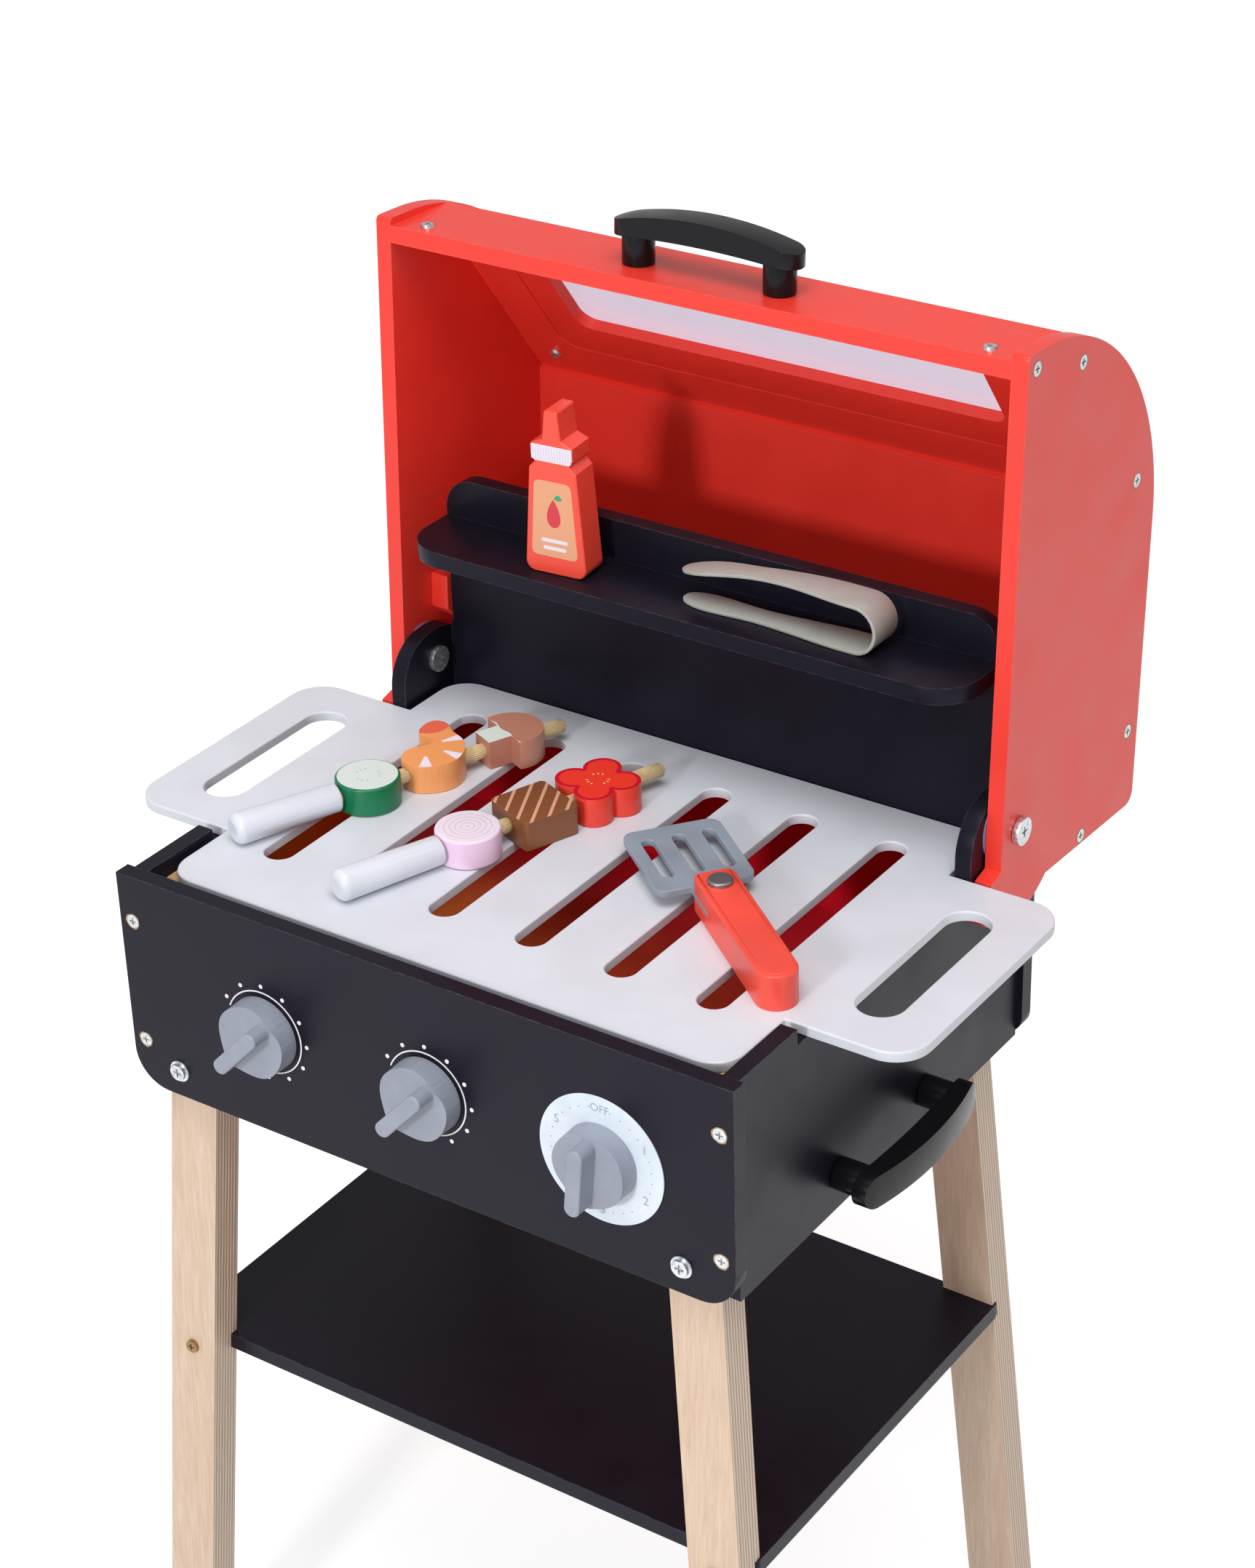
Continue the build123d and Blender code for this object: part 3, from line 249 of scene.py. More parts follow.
def seeds(t, along, left, a, b, ring, angles):
    """Short printed seeds that point at the middle a, b."""
    masks = []
    for angle in angles:
        c, s = math.cos(math.radians(angle)), math.sin(math.radians(angle))
        ahead, aside = ahead_and_aside(t, along, left, a + ring * c, b + ring * s, angle)
        masks.append(inside(t, length(t, figure(t, "MULTIPLY", ahead, 0.5), aside), 0.42))
    return any_of(t, masks)


def lacquer(t, colour, rough=0.34):
    """Glossy toy lacquer: a thin clear coat with faint waves over the colour."""
    mm = millimetres(t)
    wave = noise(t, mm, 3.0, 2.0)
    surface(t, colour, ramp(t, wave, 0.3, 0.7, rough - 0.04, rough + 0.05), wave, 0.03)


def brushed_paint(name, colour, worn_and_edge_highlight, rough, wear_and_edge_highlight, pores, tone=0.10, shine_level=0.5,
                  shine_tint=(1.0, 1.0, 1.0, 1.0), over=None):
    """Water-based paint sprayed and sanded on board: faint orange peel about 1.5 mm across,
    fine fibres that show through, and a lighter colour along the sawn edges, partly a thinner coat and partly a
    painted highlight where the edges catch the light."""
    m, t = new_material(name)
    mm = millimetres(t)
    peel = noise(t, mm, 1.6, 3.0)
    cloud = noise(t, mm, 42.0, 2.0)
    fibre = noise(t, millimetres(t, stretch=(0.22, 1.0, 1.0)), 0.9, 4.0, 0.7)
    toned = blend(t, ramp(t, cloud, 0.25, 0.75, smooth=True), *shades(colour, tone))
    speck = figure(t, "MULTIPLY", ramp(t, fibre, 0.66, 0.78), pores)
    toned = blend(t, speck, toned, worn_and_edge_highlight)
    patch = ramp(t, noise(t, mm, 5.0, 4.0, 0.7), 0.36, 0.62)
    # Lighter colour on the edges: worn paint, and partly a painted highlight where edges catch the light
    edge = figure(t, "MULTIPLY", edge_mask(t, 0.9), figure(t, "MULTIPLY", patch, wear_and_edge_highlight))
    toned = blend(t, edge, toned, worn_and_edge_highlight)
    if over:
        toned = over(t, toned)
    shine = ramp(t, cloud, 0.3, 0.7, rough - 0.05, rough + 0.06)
    height = figure(t, "ADD", peel, figure(t, "MULTIPLY", fibre, 0.5))
    surface(t, toned, shine, height, 0.035, **{"Specular IOR Level": shine_level, "Specular Tint": shine_tint})
    return m


def ember_print_with_painted_light(t):
    """Printed glow in the firebox, with painted light and shade over it: lighter orange at the front left, where
    light falls in, through red, to darker crimson at the back, in shade.
    """
    axis = axes(t)
    # Painted light and shade over the red print: lighter orange at the front left, darker crimson towards the back
    right = ramp(t, axis["X"], -0.18, 0.05, smooth=True)
    back = ramp(t, axis["Y"], here(0, 150, 0).y, here(0, 265, 0).y, smooth=True)
    near = blend(t, right, "#ff9a40", "#fa6038")
    toned = blend(t, back, near, "#e61c34")
    cloud = ramp(t, noise(t, millimetres(t), 55.0, 3.0), 0.35, 0.65, 0.0, 0.35)
    return blend(t, cloud, toned, "#a8140f")


def moulded_plastic(name, colour, rough, shine_level=0.5):
    """Injection-moulded plastic: one even colour with a fine spark-eroded texture and a soft
    sheen that is a little glossier where it has been handled."""
    m, t = new_material(name)
    mm = millimetres(t)
    cloud = noise(t, mm, 18.0, 2.0)
    toned = blend(t, ramp(t, cloud, 0.35, 0.65), *shades(colour, 0.05))
    rub = edge_mask(t, 0.6, 0.01, 0.2)
    shine = figure(t, "SUBTRACT", ramp(t, cloud, 0.3, 0.7, rough - 0.04, rough + 0.06),
                   figure(t, "MULTIPLY", rub, 0.1))
    surface(t, toned, shine, noise(t, mm, 0.35, 2.0), 0.02, **{"Specular IOR Level": shine_level})
    return m


def zinc_plate(name):
    """Zinc-plated steel screws: pale blue-grey, slightly mottled by the bath."""
    m, t = new_material(name)
    mm = millimetres(t)
    cloud = noise(t, mm, 2.2, 3.0)
    toned = blend(t, ramp(t, cloud, 0.3, 0.7), "#b2b6ba", "#e6e9ea")
    surface(t, toned, ramp(t, cloud, 0.3, 0.7, 0.22, 0.4), noise(t, mm, 0.3, 2.0), 0.02, Metallic=0.85)
    return m


def matt_steel(name, colour, rough):
    """Plain steel with a fine grain about 0.35 mm across."""
    m, t = new_material(name)
    grain = noise(t, millimetres(t), 0.35, 3.0, 0.7)
    toned = blend(t, grain, shades(colour, 0.2)[0], colour)
    surface(t, toned, ramp(t, grain, 0.3, 0.7, rough - 0.06, rough + 0.1), grain, 0.01, Metallic=1.0)
    return m


def screen_ink(name, colour, rough=0.5):
    """Thin matt ink, as screen printed on paint or plastic."""
    m, t = new_material("Screen print, " + name)
    surface(t, colour, rough, noise(t, millimetres(t), 0.8), 0.02)
    return m


# Modifiers that finish the solids

def round_edges(o, width_mm, segments, angle):
    bevel = o.modifiers.new("Rounded edges", "BEVEL")
    bevel.width = width_mm / 1000
    bevel.segments = segments
    bevel.limit_method = "ANGLE"
    bevel.angle_limit = math.radians(angle)


def paint(material, *names, width_mm=0.7, segments=3):
    """Joins each solid's loose triangles, rounds its edges as sanding does, and paints it."""
    for name in names:
        o = NODES[name]
        o.modifiers.new("Join", "WELD").merge_threshold = 0.00001
        flat = o.modifiers.new("Whole faces", "DECIMATE")
        flat.decimate_type = "DISSOLVE"
        flat.angle_limit = math.radians(0.4)
        if width_mm > 0:
            round_edges(o, width_mm, segments, 32.0)
        o.data.materials.clear()
        o.data.materials.append(material)
        for p in o.data.polygons:
            p.material_index = 0


# Meshes and repeats

def through(points, x):
    """Smooth curve through rising or falling points, read at x."""
    pts = sorted(points)
    k = max(i for i in range(len(pts) - 1) if pts[i][0] <= x or i == 0)
    x = min(max(x, pts[0][0]), pts[-1][0])
    (x0, y0), (x1, y1) = pts[k], pts[k + 1]

    def slope(i):
        a, b = max(i - 1, 0), min(i + 1, len(pts) - 1)
        return (pts[b][1] - pts[a][1]) / (pts[b][0] - pts[a][0])

    f = (x - x0) / (x1 - x0)
    d = x1 - x0
    return ((2 * f ** 3 - 3 * f ** 2 + 1) * y0 + (f ** 3 - 2 * f ** 2 + f) * d * slope(k)
            + (3 * f ** 2 - 2 * f ** 3) * y1 + (f ** 3 - f ** 2) * d * slope(k + 1))


def with_normals(path):
    """Each point of a flat path, with the unit vector to its left."""
    for k, (a, b) in enumerate(path):
        a0, b0 = path[max(k - 1, 0)]
        a1, b1 = path[min(k + 1, len(path) - 1)]
        yield a, b, Vector((b0 - b1, a1 - a0)).normalized()


def skin(bm, rows, ring=False):
    """Faces between rows of points round a section, closed by end caps or, for a ring, on itself."""
    for k in range(len(rows) if ring else len(rows) - 1):
        row, following = rows[k], rows[(k + 1) % len(rows)]
        for j in range(len(row)):
            i = (j + 1) % len(row)
            bm.faces.new((row[j], row[i], following[i], following[j]))
    if not ring:
        bm.faces.new(rows[0])
        bm.faces.new(list(reversed(rows[-1])))
    bmesh.ops.recalc_face_normals(bm, faces=bm.faces)


def link(name, data):
    """A new object in the scene."""
    o = bpy.data.objects.new(name, data)
    bpy.context.scene.collection.objects.link(o)
    return o


def evaluated_mesh(o, name):
    """The object's result as a plain mesh; the object goes."""
    bpy.context.view_layer.update()
    made = bpy.data.meshes.new_from_object(o.evaluated_get(bpy.context.evaluated_depsgraph_get()))
    bpy.data.objects.remove(o)
    if not made.polygons:
        raise RuntimeError(name + " came out empty")
    made.name = name
    return made


def ride(name, data, body):
    """A finished mesh as an object that rides on a body."""
    o = link(name, data)
    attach(o, body)
    return o


def mesh_piece(name, bm, material, body, smooth=True):
    """A finished bmesh as a piece that rides on a body."""
    data = bpy.data.meshes.new(name)
    bm.to_mesh(data)
    bm.free()
    data.materials.append(material)
    for p in data.polygons:
        p.use_smooth = smooth
    return ride(name, data, body)


def from_tree(name, tree, values, body, smooth=False):
    """Runs a node tree with its named inputs and keeps the result as a plain mesh."""
    seed = link(name + "_seed", bpy.data.meshes.new(name + "_seed"))
    mod = seed.modifiers.new("Repeat", "NODES")
    mod.node_group = tree
    for item in tree.interface.items_tree:
        if item.item_type == "SOCKET" and item.in_out == "INPUT" and item.name in values:
            mod[item.identifier] = values[item.name]
    made = evaluated_mesh(seed, name)
    for p in made.polygons:
        p.use_smooth = smooth
    return ride(name, made, body)


def tree_with(name, sockets):
    """Empty node tree with a geometry output, inputs named with their first values, and a material."""
    tree = bpy.data.node_groups.new(name, "GeometryNodeTree")
    tree.interface.new_socket(name="Geometry", in_out="OUTPUT", socket_type="NodeSocketGeometry")
    kinds = {int: "NodeSocketInt", float: "NodeSocketFloat", tuple: "NodeSocketVector"}
    for label, value in sockets.items():
        kind = kinds[type(value)]
        tree.interface.new_socket(name=label, in_out="INPUT", socket_type=kind).default_value = value
    tree.interface.new_socket(name="Material", in_out="INPUT", socket_type="NodeSocketMaterial")
    return tree, tree.nodes.new("NodeGroupInput"), tree.nodes.new("NodeGroupOutput")


def finish_tree(tree, out, geometry, material):
    """Every tree ends in Realize Instances and Set Material."""
    real = add(tree, "GeometryNodeRealizeInstances", {}, {"Geometry": geometry})
    dressed = add(tree, "GeometryNodeSetMaterial", {}, {"Geometry": real.outputs[0], "Material": material})
    tree.links.new(dressed.outputs[0], out.inputs[0])


def arc_of_dots_tree():
    """Round dots spaced evenly on an arc that faces the front."""
    tree, g, out = tree_with("Dots on an arc", {
        "Count": 9, "Arc radius": 0.029, "First angle": 2.618, "Step": -0.5236, "Dot radius": 0.001,
        "Height": 0.0002, "Centre": (0, 0, 0)})
    points = add(tree, "GeometryNodePoints", {}, {"Count": g.outputs["Count"]})
    index = add(tree, "GeometryNodeInputIndex")
    angle = add(tree, "ShaderNodeMath", {"operation": "MULTIPLY_ADD"}, {
        0: index.outputs[0], 1: g.outputs["Step"], 2: g.outputs["First angle"]})
    spot = add(tree, "ShaderNodeCombineXYZ", {}, {
        "X": figure(tree, "COSINE", angle.outputs[0]), "Z": figure(tree, "SINE", angle.outputs[0])})
    reach = add(tree, "ShaderNodeVectorMath", {"operation": "SCALE"},
                {0: spot.outputs[0], "Scale": g.outputs["Arc radius"]})
    place = add(tree, "ShaderNodeVectorMath", {"operation": "ADD"},
                {0: reach.outputs[0], 1: g.outputs["Centre"]})
    tree.links.new(place.outputs[0], points.inputs["Position"])
    dot = add(tree, "GeometryNodeMeshCylinder", {}, {
        "Vertices": 20, "Radius": g.outputs["Dot radius"], "Depth": g.outputs["Height"]})
    put = add(tree, "GeometryNodeInstanceOnPoints", {}, {
        "Rotation": (math.pi / 2, 0, 0), "Points": points.outputs[0], "Instance": dot.outputs[0]})
    finish_tree(tree, out, put.outputs[0], g.outputs["Material"])
    return tree


def flutes_tree():
    """Fine ribs round a stick that lies level."""
    tree, g, out = tree_with("Flutes round a stick", {
        "Count": 22, "Radius": 0.004, "Length": 0.02, "Rib": 0.0003, "Centre": (0, 0, 0), "Turn": 0.0})
    circle = add(tree, "GeometryNodeMeshCircle", {},
                 {"Vertices": g.outputs["Count"], "Radius": g.outputs["Radius"]})
    rib = add(tree, "GeometryNodeMeshCylinder", {}, {
        "Vertices": 8, "Radius": g.outputs["Rib"], "Depth": g.outputs["Length"]})
    put = add(tree, "GeometryNodeInstanceOnPoints", {}, {"Points": circle.outputs[0], "Instance": rib.outputs[0]})
    lie = add(tree, "ShaderNodeCombineXYZ", {}, {"Y": math.pi / 2, "Z": g.outputs["Turn"]})
    move = add(tree, "GeometryNodeTransform", {},
               {"Geometry": put.outputs[0], "Translation": g.outputs["Centre"], "Rotation": lie.outputs[0]})
    finish_tree(tree, out, move.outputs[0], g.outputs["Material"])
    return tree


def row_of_bars_tree():
    """Equal bars in a straight row."""
    tree, g, out = tree_with("Bars in a row", {
        "Count": 5, "Start": (0, 0, 0), "Step": (0.007, 0, 0), "Size": (0.003, 0.03, 0.001), "Turn": 0.0})
    line = add(tree, "GeometryNodeMeshLine", {"mode": "OFFSET"},
               {"Count": g.outputs["Count"], "Start Location": g.outputs["Start"], "Offset": g.outputs["Step"]})
    bar = add(tree, "GeometryNodeMeshCube", {}, {"Size": g.outputs["Size"]})
    turn = add(tree, "ShaderNodeCombineXYZ", {}, {"Z": g.outputs["Turn"]})
    put = add(tree, "GeometryNodeInstanceOnPoints", {},
              {"Points": line.outputs[0], "Instance": bar.outputs[0], "Rotation": turn.outputs[0]})
    finish_tree(tree, out, put.outputs[0], g.outputs["Material"])
    return tree


# Sizes and colours a user would change

class GrillPaints(bpy.types.PropertyGroup):
    """Colours of the grill's painted and moulded parts."""

    panels: StringProperty(name="Panels", description="Dark paint on the firebox and shelves", default="#17151f")
    lid: StringProperty(name="Lid", description="Coral paint on the lid", default="#f03a2d")
    grate: StringProperty(name="Grate", description="Pale paint on the grate", default="#d8dbe3")
    knobs: StringProperty(name="Knobs", description="Moulded plastic of the knobs", default="#959baa")


class GrillMarks(bpy.types.PropertyGroup):
    """Printed marks round the knobs."""

    dot_count: IntProperty(name="Dots", description="Dots round each plain knob", default=9, min=3, max=24)
    dot_radius: FloatProperty(name="Dot radius", description="Radius of a dot", default=0.00125, unit="LENGTH")
    dot_ring: FloatProperty(name="Dot ring", description="Radius of the ring of dots", default=0.0291,
                            unit="LENGTH")
    line_ring: FloatProperty(name="Line ring", description="Radius of the printed line", default=0.0252,
                             unit="LENGTH")


class GrillStage(bpy.types.PropertyGroup):
    """Camera and light."""

    lens: FloatProperty(name="Lens", description="Focal length on a 36 mm sensor", default=78.04)
    key: FloatProperty(name="Key light", description="Strength of the overhead softbox", default=34.0, unit="POWER")


# Places measured off the solids, millimetres in the firebox's or the lid's own directions
KNOB_XS = (-101.8, 8.3, 119.6)
KNOB_Z = 65.7
SKEWERS = ((-168.5, 62.0, 66.5), (-81.5, 44.0, 69.0))
SPATULA = (110.5, 134.0, -38.2)
STICK_Z = 141.0
PANEL_SCREW_X = 191.25
PANEL_SCREW_ZS = (29.8, 107.0)
LID_FACE = 207.0
LID_SCREWS = ((-8.0, 265.8), (117.8, 163.6), (43.5, 253.9), (129.0, 6.8), (77.3, -37.5))
BOTTLE_FOOT = (-82.2, 264.9, 239.3)
BOTTLE_TURN = 5.0
TONGS_Y = 268.5
TONGS_LOW = 240.3
# Middles of the food pieces along their sticks
CUCUMBER, ONION, MEAT, PEPPER = (85.3, 0.0), (84.4, 0.0), 128.3, (171.1, 0.5)
# Where each stick shows between its food pieces, millimetres from the handle's end
FREE_STICK = (((65.3, 68.0), (102.5, 111.6), (148.5, 162.5), (197.0, 213.0)), ((102.5, 110.5), (191.5, 213.0)))


class PaintBoards(bpy.types.Operator):
    """Dark boards of the firebox, back board and both shelves"""

    bl_idname = "grill.paint_boards"
    bl_label = "Dark boards"

    def execute(self, context):
        colours = context.scene.grill_paints
        bluish = (0.84, 0.84, 1.0, 1.0)
        # The pale edge colour #6f6c78 is worn paint and partly a painted highlight where the board edges catch the
        # light
        look = (colours.panels, "#6f6c78", 0.36, 0.5, 0.04, 0.1, 0.17, bluish)
        dark = brushed_paint("Satin paint, near black, on board", *look)
        paint(dark, "front_panel", "shelf", "lower_shelf", width_mm=0.9)
        wall_x = max(v.co.x for v in NODES["left_side_panel"].data.vertices)
        wall_y = min(v.co.y for v in NODES["rear_panel"].data.vertices)
        reach = 0.0008

        def lining(t, toned):
            """The ember colours, with their painted light and shade, also cover the inner walls up to the underside
            of the grate.
            """
            axis = axes(t)
            beside = inside(t, figure(t, "ABSOLUTE", axis["X"]), abs(wall_x) + reach, 0.0001)
            before = inside(t, axis["Y"], wall_y + reach, 0.0001)
            below = inside(t, axis["Z"], here(0, 0, 121).z, 0.0001)
            return blend(t, both(t, beside, before, below), toned, ember_print_with_painted_light(t))

        # Inner walls take the ember colours, lighter orange at the front left and darker crimson at the back: painted
        # light and shade
        lined = brushed_paint("Satin paint, near black, glow print inside", *look, lining)
        paint(lined, "rear_panel", "left_side_panel", "right_side_panel", "back_board", width_mm=0.9)
        return {"FINISHED"}


class PaintEmbers(bpy.types.Operator):
    """Printed glow on the floor board under the grate, with painted light and shade"""

    bl_idname = "grill.paint_embers"
    bl_label = "Floor board"

    def execute(self, context):
        # The floor board's print carries painted light and shade: lighter at the front left, darker at the back
        m, t = new_material("Printed board, dark ember red")
        surface(t, ember_print_with_painted_light(t), 0.55, noise(t, millimetres(t), 1.5), 0.04)
        paint(m, "floor_board")
        pine, t = new_material("Planed pine, bare")
        where = millimetres(t, stretch=(1.0, 0.08, 1.0))
        grain = noise(t, where, 1.4, 4.0, 0.6)
        toned = blend(t, grain, "#b98a5c", "#e2bf92")
        surface(t, toned, 0.6, grain, 0.05)
        paint(pine, "left_grate_cleat", "right_grate_cleat")
        return {"FINISHED"}


class PaintLegs(bpy.types.Operator):
    """Layered plywood legs, one material for the front and one for the rear pair"""

    bl_idname = "grill.paint_legs"
    bl_label = "Legs"

    def execute(self, context):
        ply_thickness = 0.0025
        # Splay back per metre of drop, and where the leg's front face starts
        for name, splay, start in (("front", -0.048, 0.010), ("rear", 0.048, 0.2695)):
            # Birch plywood, clear coated: face veneers with fine pores, eight plies on the sawn edge
            m, t = new_material("Birch plywood, clear coated, " + name + " legs")
            axis = axes(t)
            drop = figure(t, "SUBTRACT", BOX_Z, axis["Z"])
            depth = figure(t, "SUBTRACT", axis["Y"], PANEL_FRONT + start)
            depth = figure(t, "SUBTRACT", depth, figure(t, "MULTIPLY", drop, splay))
            wobble = noise(t, millimetres(t, stretch=(1, 1, 0.05)), 9.0, 2.0)
            depth = figure(t, "ADD", depth, figure(t, "MULTIPLY", figure(t, "SUBTRACT", wobble, 0.5), 0.0011))
            plies = figure(t, "DIVIDE", depth, ply_thickness)
            seam = ramp(t, from_middle(t, plies), 0.16, 0.34)
            odd = figure(t, "MODULO", figure(t, "FLOOR", plies), 2.0)
            on_edge = ramp(t, figure(t, "ABSOLUTE", facing(t)["Y"]), 0.45, 0.75, 1.0, 0.0)
            long_grain = noise(t, millimetres(t, stretch=(1.0, 1.0, 0.035)), 1.6, 5.0, 0.65, 0.3)
            cloud = noise(t, millimetres(t, stretch=(1.0, 1.0, 0.2)), 14.0, 3.0)
            face = blend(t, ramp(t, long_grain, 0.32, 0.68), "#d2b69c", "#e6ceb8")
            face = blend(t, figure(t, "MULTIPLY", ramp(t, cloud, 0.4, 0.7), 0.25), face, "#c79f7d")
            end = noise(t, millimetres(t, stretch=(1.0, 1.0, 0.3)), 0.6, 3.0)
            cross = blend(t, end, "#a08b78", "#b9a592")
            straight = blend(t, ramp(t, long_grain, 0.3, 0.7), "#e2ccb4", "#f2e0cc")
            layers = blend(t, seam, straight, cross)
            layers = blend(t, figure(t, "MULTIPLY", odd, 0.18), layers, "#c9a786")
            toned = blend(t, on_edge, face, layers)
            surface(t, toned, ramp(t, long_grain, 0.3, 0.7, 0.42, 0.55), long_grain, 0.04)
            paint(m, name + "_left_leg", name + "_right_leg", width_mm=1.2)
        return {"FINISHED"}


class PaintLid(bpy.types.Operator):
    """Coral boards of the lid and its stop blocks"""

    bl_idname = "grill.paint_lid"
    bl_label = "Lid"

    def execute(self, context):
        colours = context.scene.grill_paints
        # The paler edge colour #ff8a78 is worn paint and partly a painted highlight where the lid edges catch the
        # light
        coral = brushed_paint("Satin paint, coral red, on board", colours.lid, "#ff8a78", 0.36, 0.3, 0.05, 0.03)
        paint(coral, "lid_left_side", "lid_right_side", "lid_top_board", "lid_window_board",
              "lid_back_board", "lid_bottom_board", "left_stop_block", "right_stop_block", width_mm=0.9)
        # Cast acrylic sheet with a lilac cast: clear, glossy, faintly wavy
        m, t = new_material("Cast acrylic sheet, lilac cast")
        wave = noise(t, millimetres(t), 40.0, 1.0)
        surface(t, "#e6dcf0", 0.06, wave, 0.15, **{
            "Transmission Weight": 1.0, "IOR": 1.49, "Alpha": 0.85})
        paint(m, "window_pane", width_mm=0.3)
        # Polyethylene washers, translucent and softly glossy
        m, t = new_material("Polyethylene washer, pale lilac")
        surface(t, "#b9a5cf", 0.3, noise(t, millimetres(t), 1.0), 0.02, **{
            "Transmission Weight": 0.35, "IOR": 1.5})
        paint(m, "hinge_washers", width_mm=0.0)
        return {"FINISHED"}


class PaintGrate(bpy.types.Operator):
    """Pale grate board"""

    bl_idname = "grill.paint_grate"
    bl_label = "Grate"

    def execute(self, context):
        colours = context.scene.grill_paints
        pale = brushed_paint("Satin paint, pale grey, on board", colours.grate, "#efeef2", 0.40, 0.5, 0.1, 0.03)
        paint(pale, "grate", width_mm=0.8)
        return {"FINISHED"}


class MakeKnobs(bpy.types.Operator):
    """Knobs, their dial plate and the marks printed round them"""

    bl_idname = "grill.make_knobs"
    bl_label = "Knobs and marks"

    def execute(self, context):
        colours = context.scene.grill_paints
        marks = context.scene.grill_marks
        grey = moulded_plastic("Moulded ABS, blue grey", colours.knobs, 0.42)
        paint(grey, "knob_1", "knob_2", "knob_3", width_mm=0.8)
        plate = moulded_plastic("Printed styrene plate, pale blue", "#dde8f2", 0.45)
        paint(plate, "dial_plate", width_mm=0.2)
        ink = screen_ink("white", "#f2f1f4")
        dots = arc_of_dots_tree()
        for i in (0, 1):
            centre = here(KNOB_XS[i], -0.1, KNOB_Z)
            from_tree("knob_dots_" + str(i + 1), dots, {
                "Count": marks.dot_count, "Arc radius": marks.dot_ring, "First angle": math.radians(150),
                "Step": math.radians(-30), "Dot radius": marks.dot_radius, "Height": 0.0002,
                "Centre": centre, "Material": ink}, "base")
            bm = bmesh.new()
            rows = []
            steps, first, last = 96, 158, -79
            inner, outer = marks.line_ring - 0.0004, marks.line_ring + 0.0004
            for k in range(steps + 1):
                a = math.radians(first + (last - first) * k / steps)
                rows.append([bm.verts.new(here(KNOB_XS[i], 0, KNOB_Z) + Vector((r * math.cos(a), y, r * math.sin(a))))
                             for r, y in ((inner, 0.0), (inner, -0.0002), (outer, -0.0002), (outer, 0.0))])
            skin(bm, rows)
            mesh_piece("knob_line_" + str(i + 1), bm, ink, "base", smooth=False)
        # Numerals and OFF on the dial plate, printed in pale grey
        grey_ink = screen_ink("mid grey", "#a9b2bd")
        dial, dial_ring = here(KNOB_XS[2], -0.85, KNOB_Z), 0.0312
        for i in range(6):
            from_tree("dial_dots_" + str(i + 1), dots, {
                "Count": 4, "Arc radius": dial_ring, "First angle": math.radians(78 - 60 * i),
                "Step": math.radians(-12), "Dot radius": 0.00045, "Height": 0.0001,
                "Centre": dial, "Material": grey_ink}, "base")
        words = (("OFF", 90, 6.6), ("1", 30, 7.6), ("2", -30, 7.6), ("3", -90, 7.6), ("4", -150, 7.6),
                 ("5", 150, 7.6))
        for text, angle, size in words:
            curve = bpy.data.curves.new("dial_" + text, "FONT")
            curve.body = text
            curve.size = size / 1000
            curve.align_x = "CENTER"
            curve.align_y = "CENTER"
            curve.extrude = 0.00005
            curve.resolution_u = 4
            made = evaluated_mesh(link("dial_" + text, curve), "dial_" + text)
            a = math.radians(angle)
            spot = dial + Vector((dial_ring * math.cos(a), 0, dial_ring * math.sin(a)))
            made.transform(Matrix.Translation(spot) @ Matrix.Rotation(math.pi / 2, 4, "X"))
            made.materials.clear()
            made.materials.append(grey_ink)
            ride("dial_" + text, made, "base")
        return {"FINISHED"}


class PaintHardware(bpy.types.Operator):
    """Screws, bolts, knob shafts and the black handles"""

    bl_idname = "grill.paint_hardware"
    bl_label = "Hardware"

    def execute(self, context):
        zinc = zinc_plate("Zinc-plated steel")
        # Screws through the legs: yellow-passivated, dull and brown in their holes
        brass, t = new_material("Yellow-passivated steel")
        cloud = noise(t, millimetres(t), 2.0, 3.0)
        surface(t, blend(t, cloud, "#7d5f3e", "#b79464"), 0.42, cloud, 0.02, Metallic=0.6)
        paint(brass, "lower_shelf_screws", width_mm=0.0)
        paint(zinc, "panel_screws", "side_handle_screws", "lid_handle_screws",
              "lid_side_screws", "lid_button_screws", "knob_1_shaft", "knob_2_shaft", "knob_3_shaft",
              width_mm=0.0)
        paint(zinc, "leg_bolts", "hinge_bolts", width_mm=0.3, segments=2)
        black = moulded_plastic("Moulded nylon, black", "#121216", 0.24, 0.22)
        paint(black, "side_handle_grip", "lid_handle_grip", "side_handle_posts", "lid_handle_posts",
              width_mm=1.2, segments=4)
        return {"FINISHED"}


class MakeScrewRims(bpy.types.Operator):
    """Rims of raw board where the countersinks cut through the paint"""

    bl_idname = "grill.make_screw_rims"
    bl_label = "Raw screw rims"

    def execute(self, context):
        # Bare medium-density board cut by the countersink, tan and a little fuzzy
        m, t = new_material("Bare medium-density board, cut edge")
        fuzz = noise(t, millimetres(t), 0.7, 3.0)
        surface(t, blend(t, fuzz, "#8a6a4e", "#c4a27e"), 0.8, fuzz, 0.06)
        steps, head = 28, 4.0
        spots = []
        for side in (-1, 1):
            spots += [(here(side * PANEL_SCREW_X, 0, z), Vector((0, -1, 0)), "base") for z in PANEL_SCREW_ZS]
            spots += [(in_lid(side * LID_FACE, v, u), Vector((side, 0, 0)), "lid") for v, u in LID_SCREWS]
        for i, (spot, out, body) in enumerate(spots):
            across = out.cross(Vector((0, 0, 1))).normalized()
            up = across.cross(out)
            bm = bmesh.new()
            rows = []
            for k in range(steps):
                a = 2 * math.pi * k / steps
                reach = 4.75 + 0.22 * math.sin(3 * a + i) + 0.14 * math.sin(7 * a + 2.3 * i)
                arm = across * math.cos(a) + up * math.sin(a)
                rows.append([bm.verts.new(spot + arm * (r / 1000) + out * (h / 1000))
                             for r, h in ((head, -0.1), (head, 0.03), (reach, 0.06), (reach, -0.1))])
            skin(bm, rows, ring=True)
            mesh_piece("raw_rim_" + str(i + 1), bm, m, body, smooth=False)
        return {"FINISHED"}


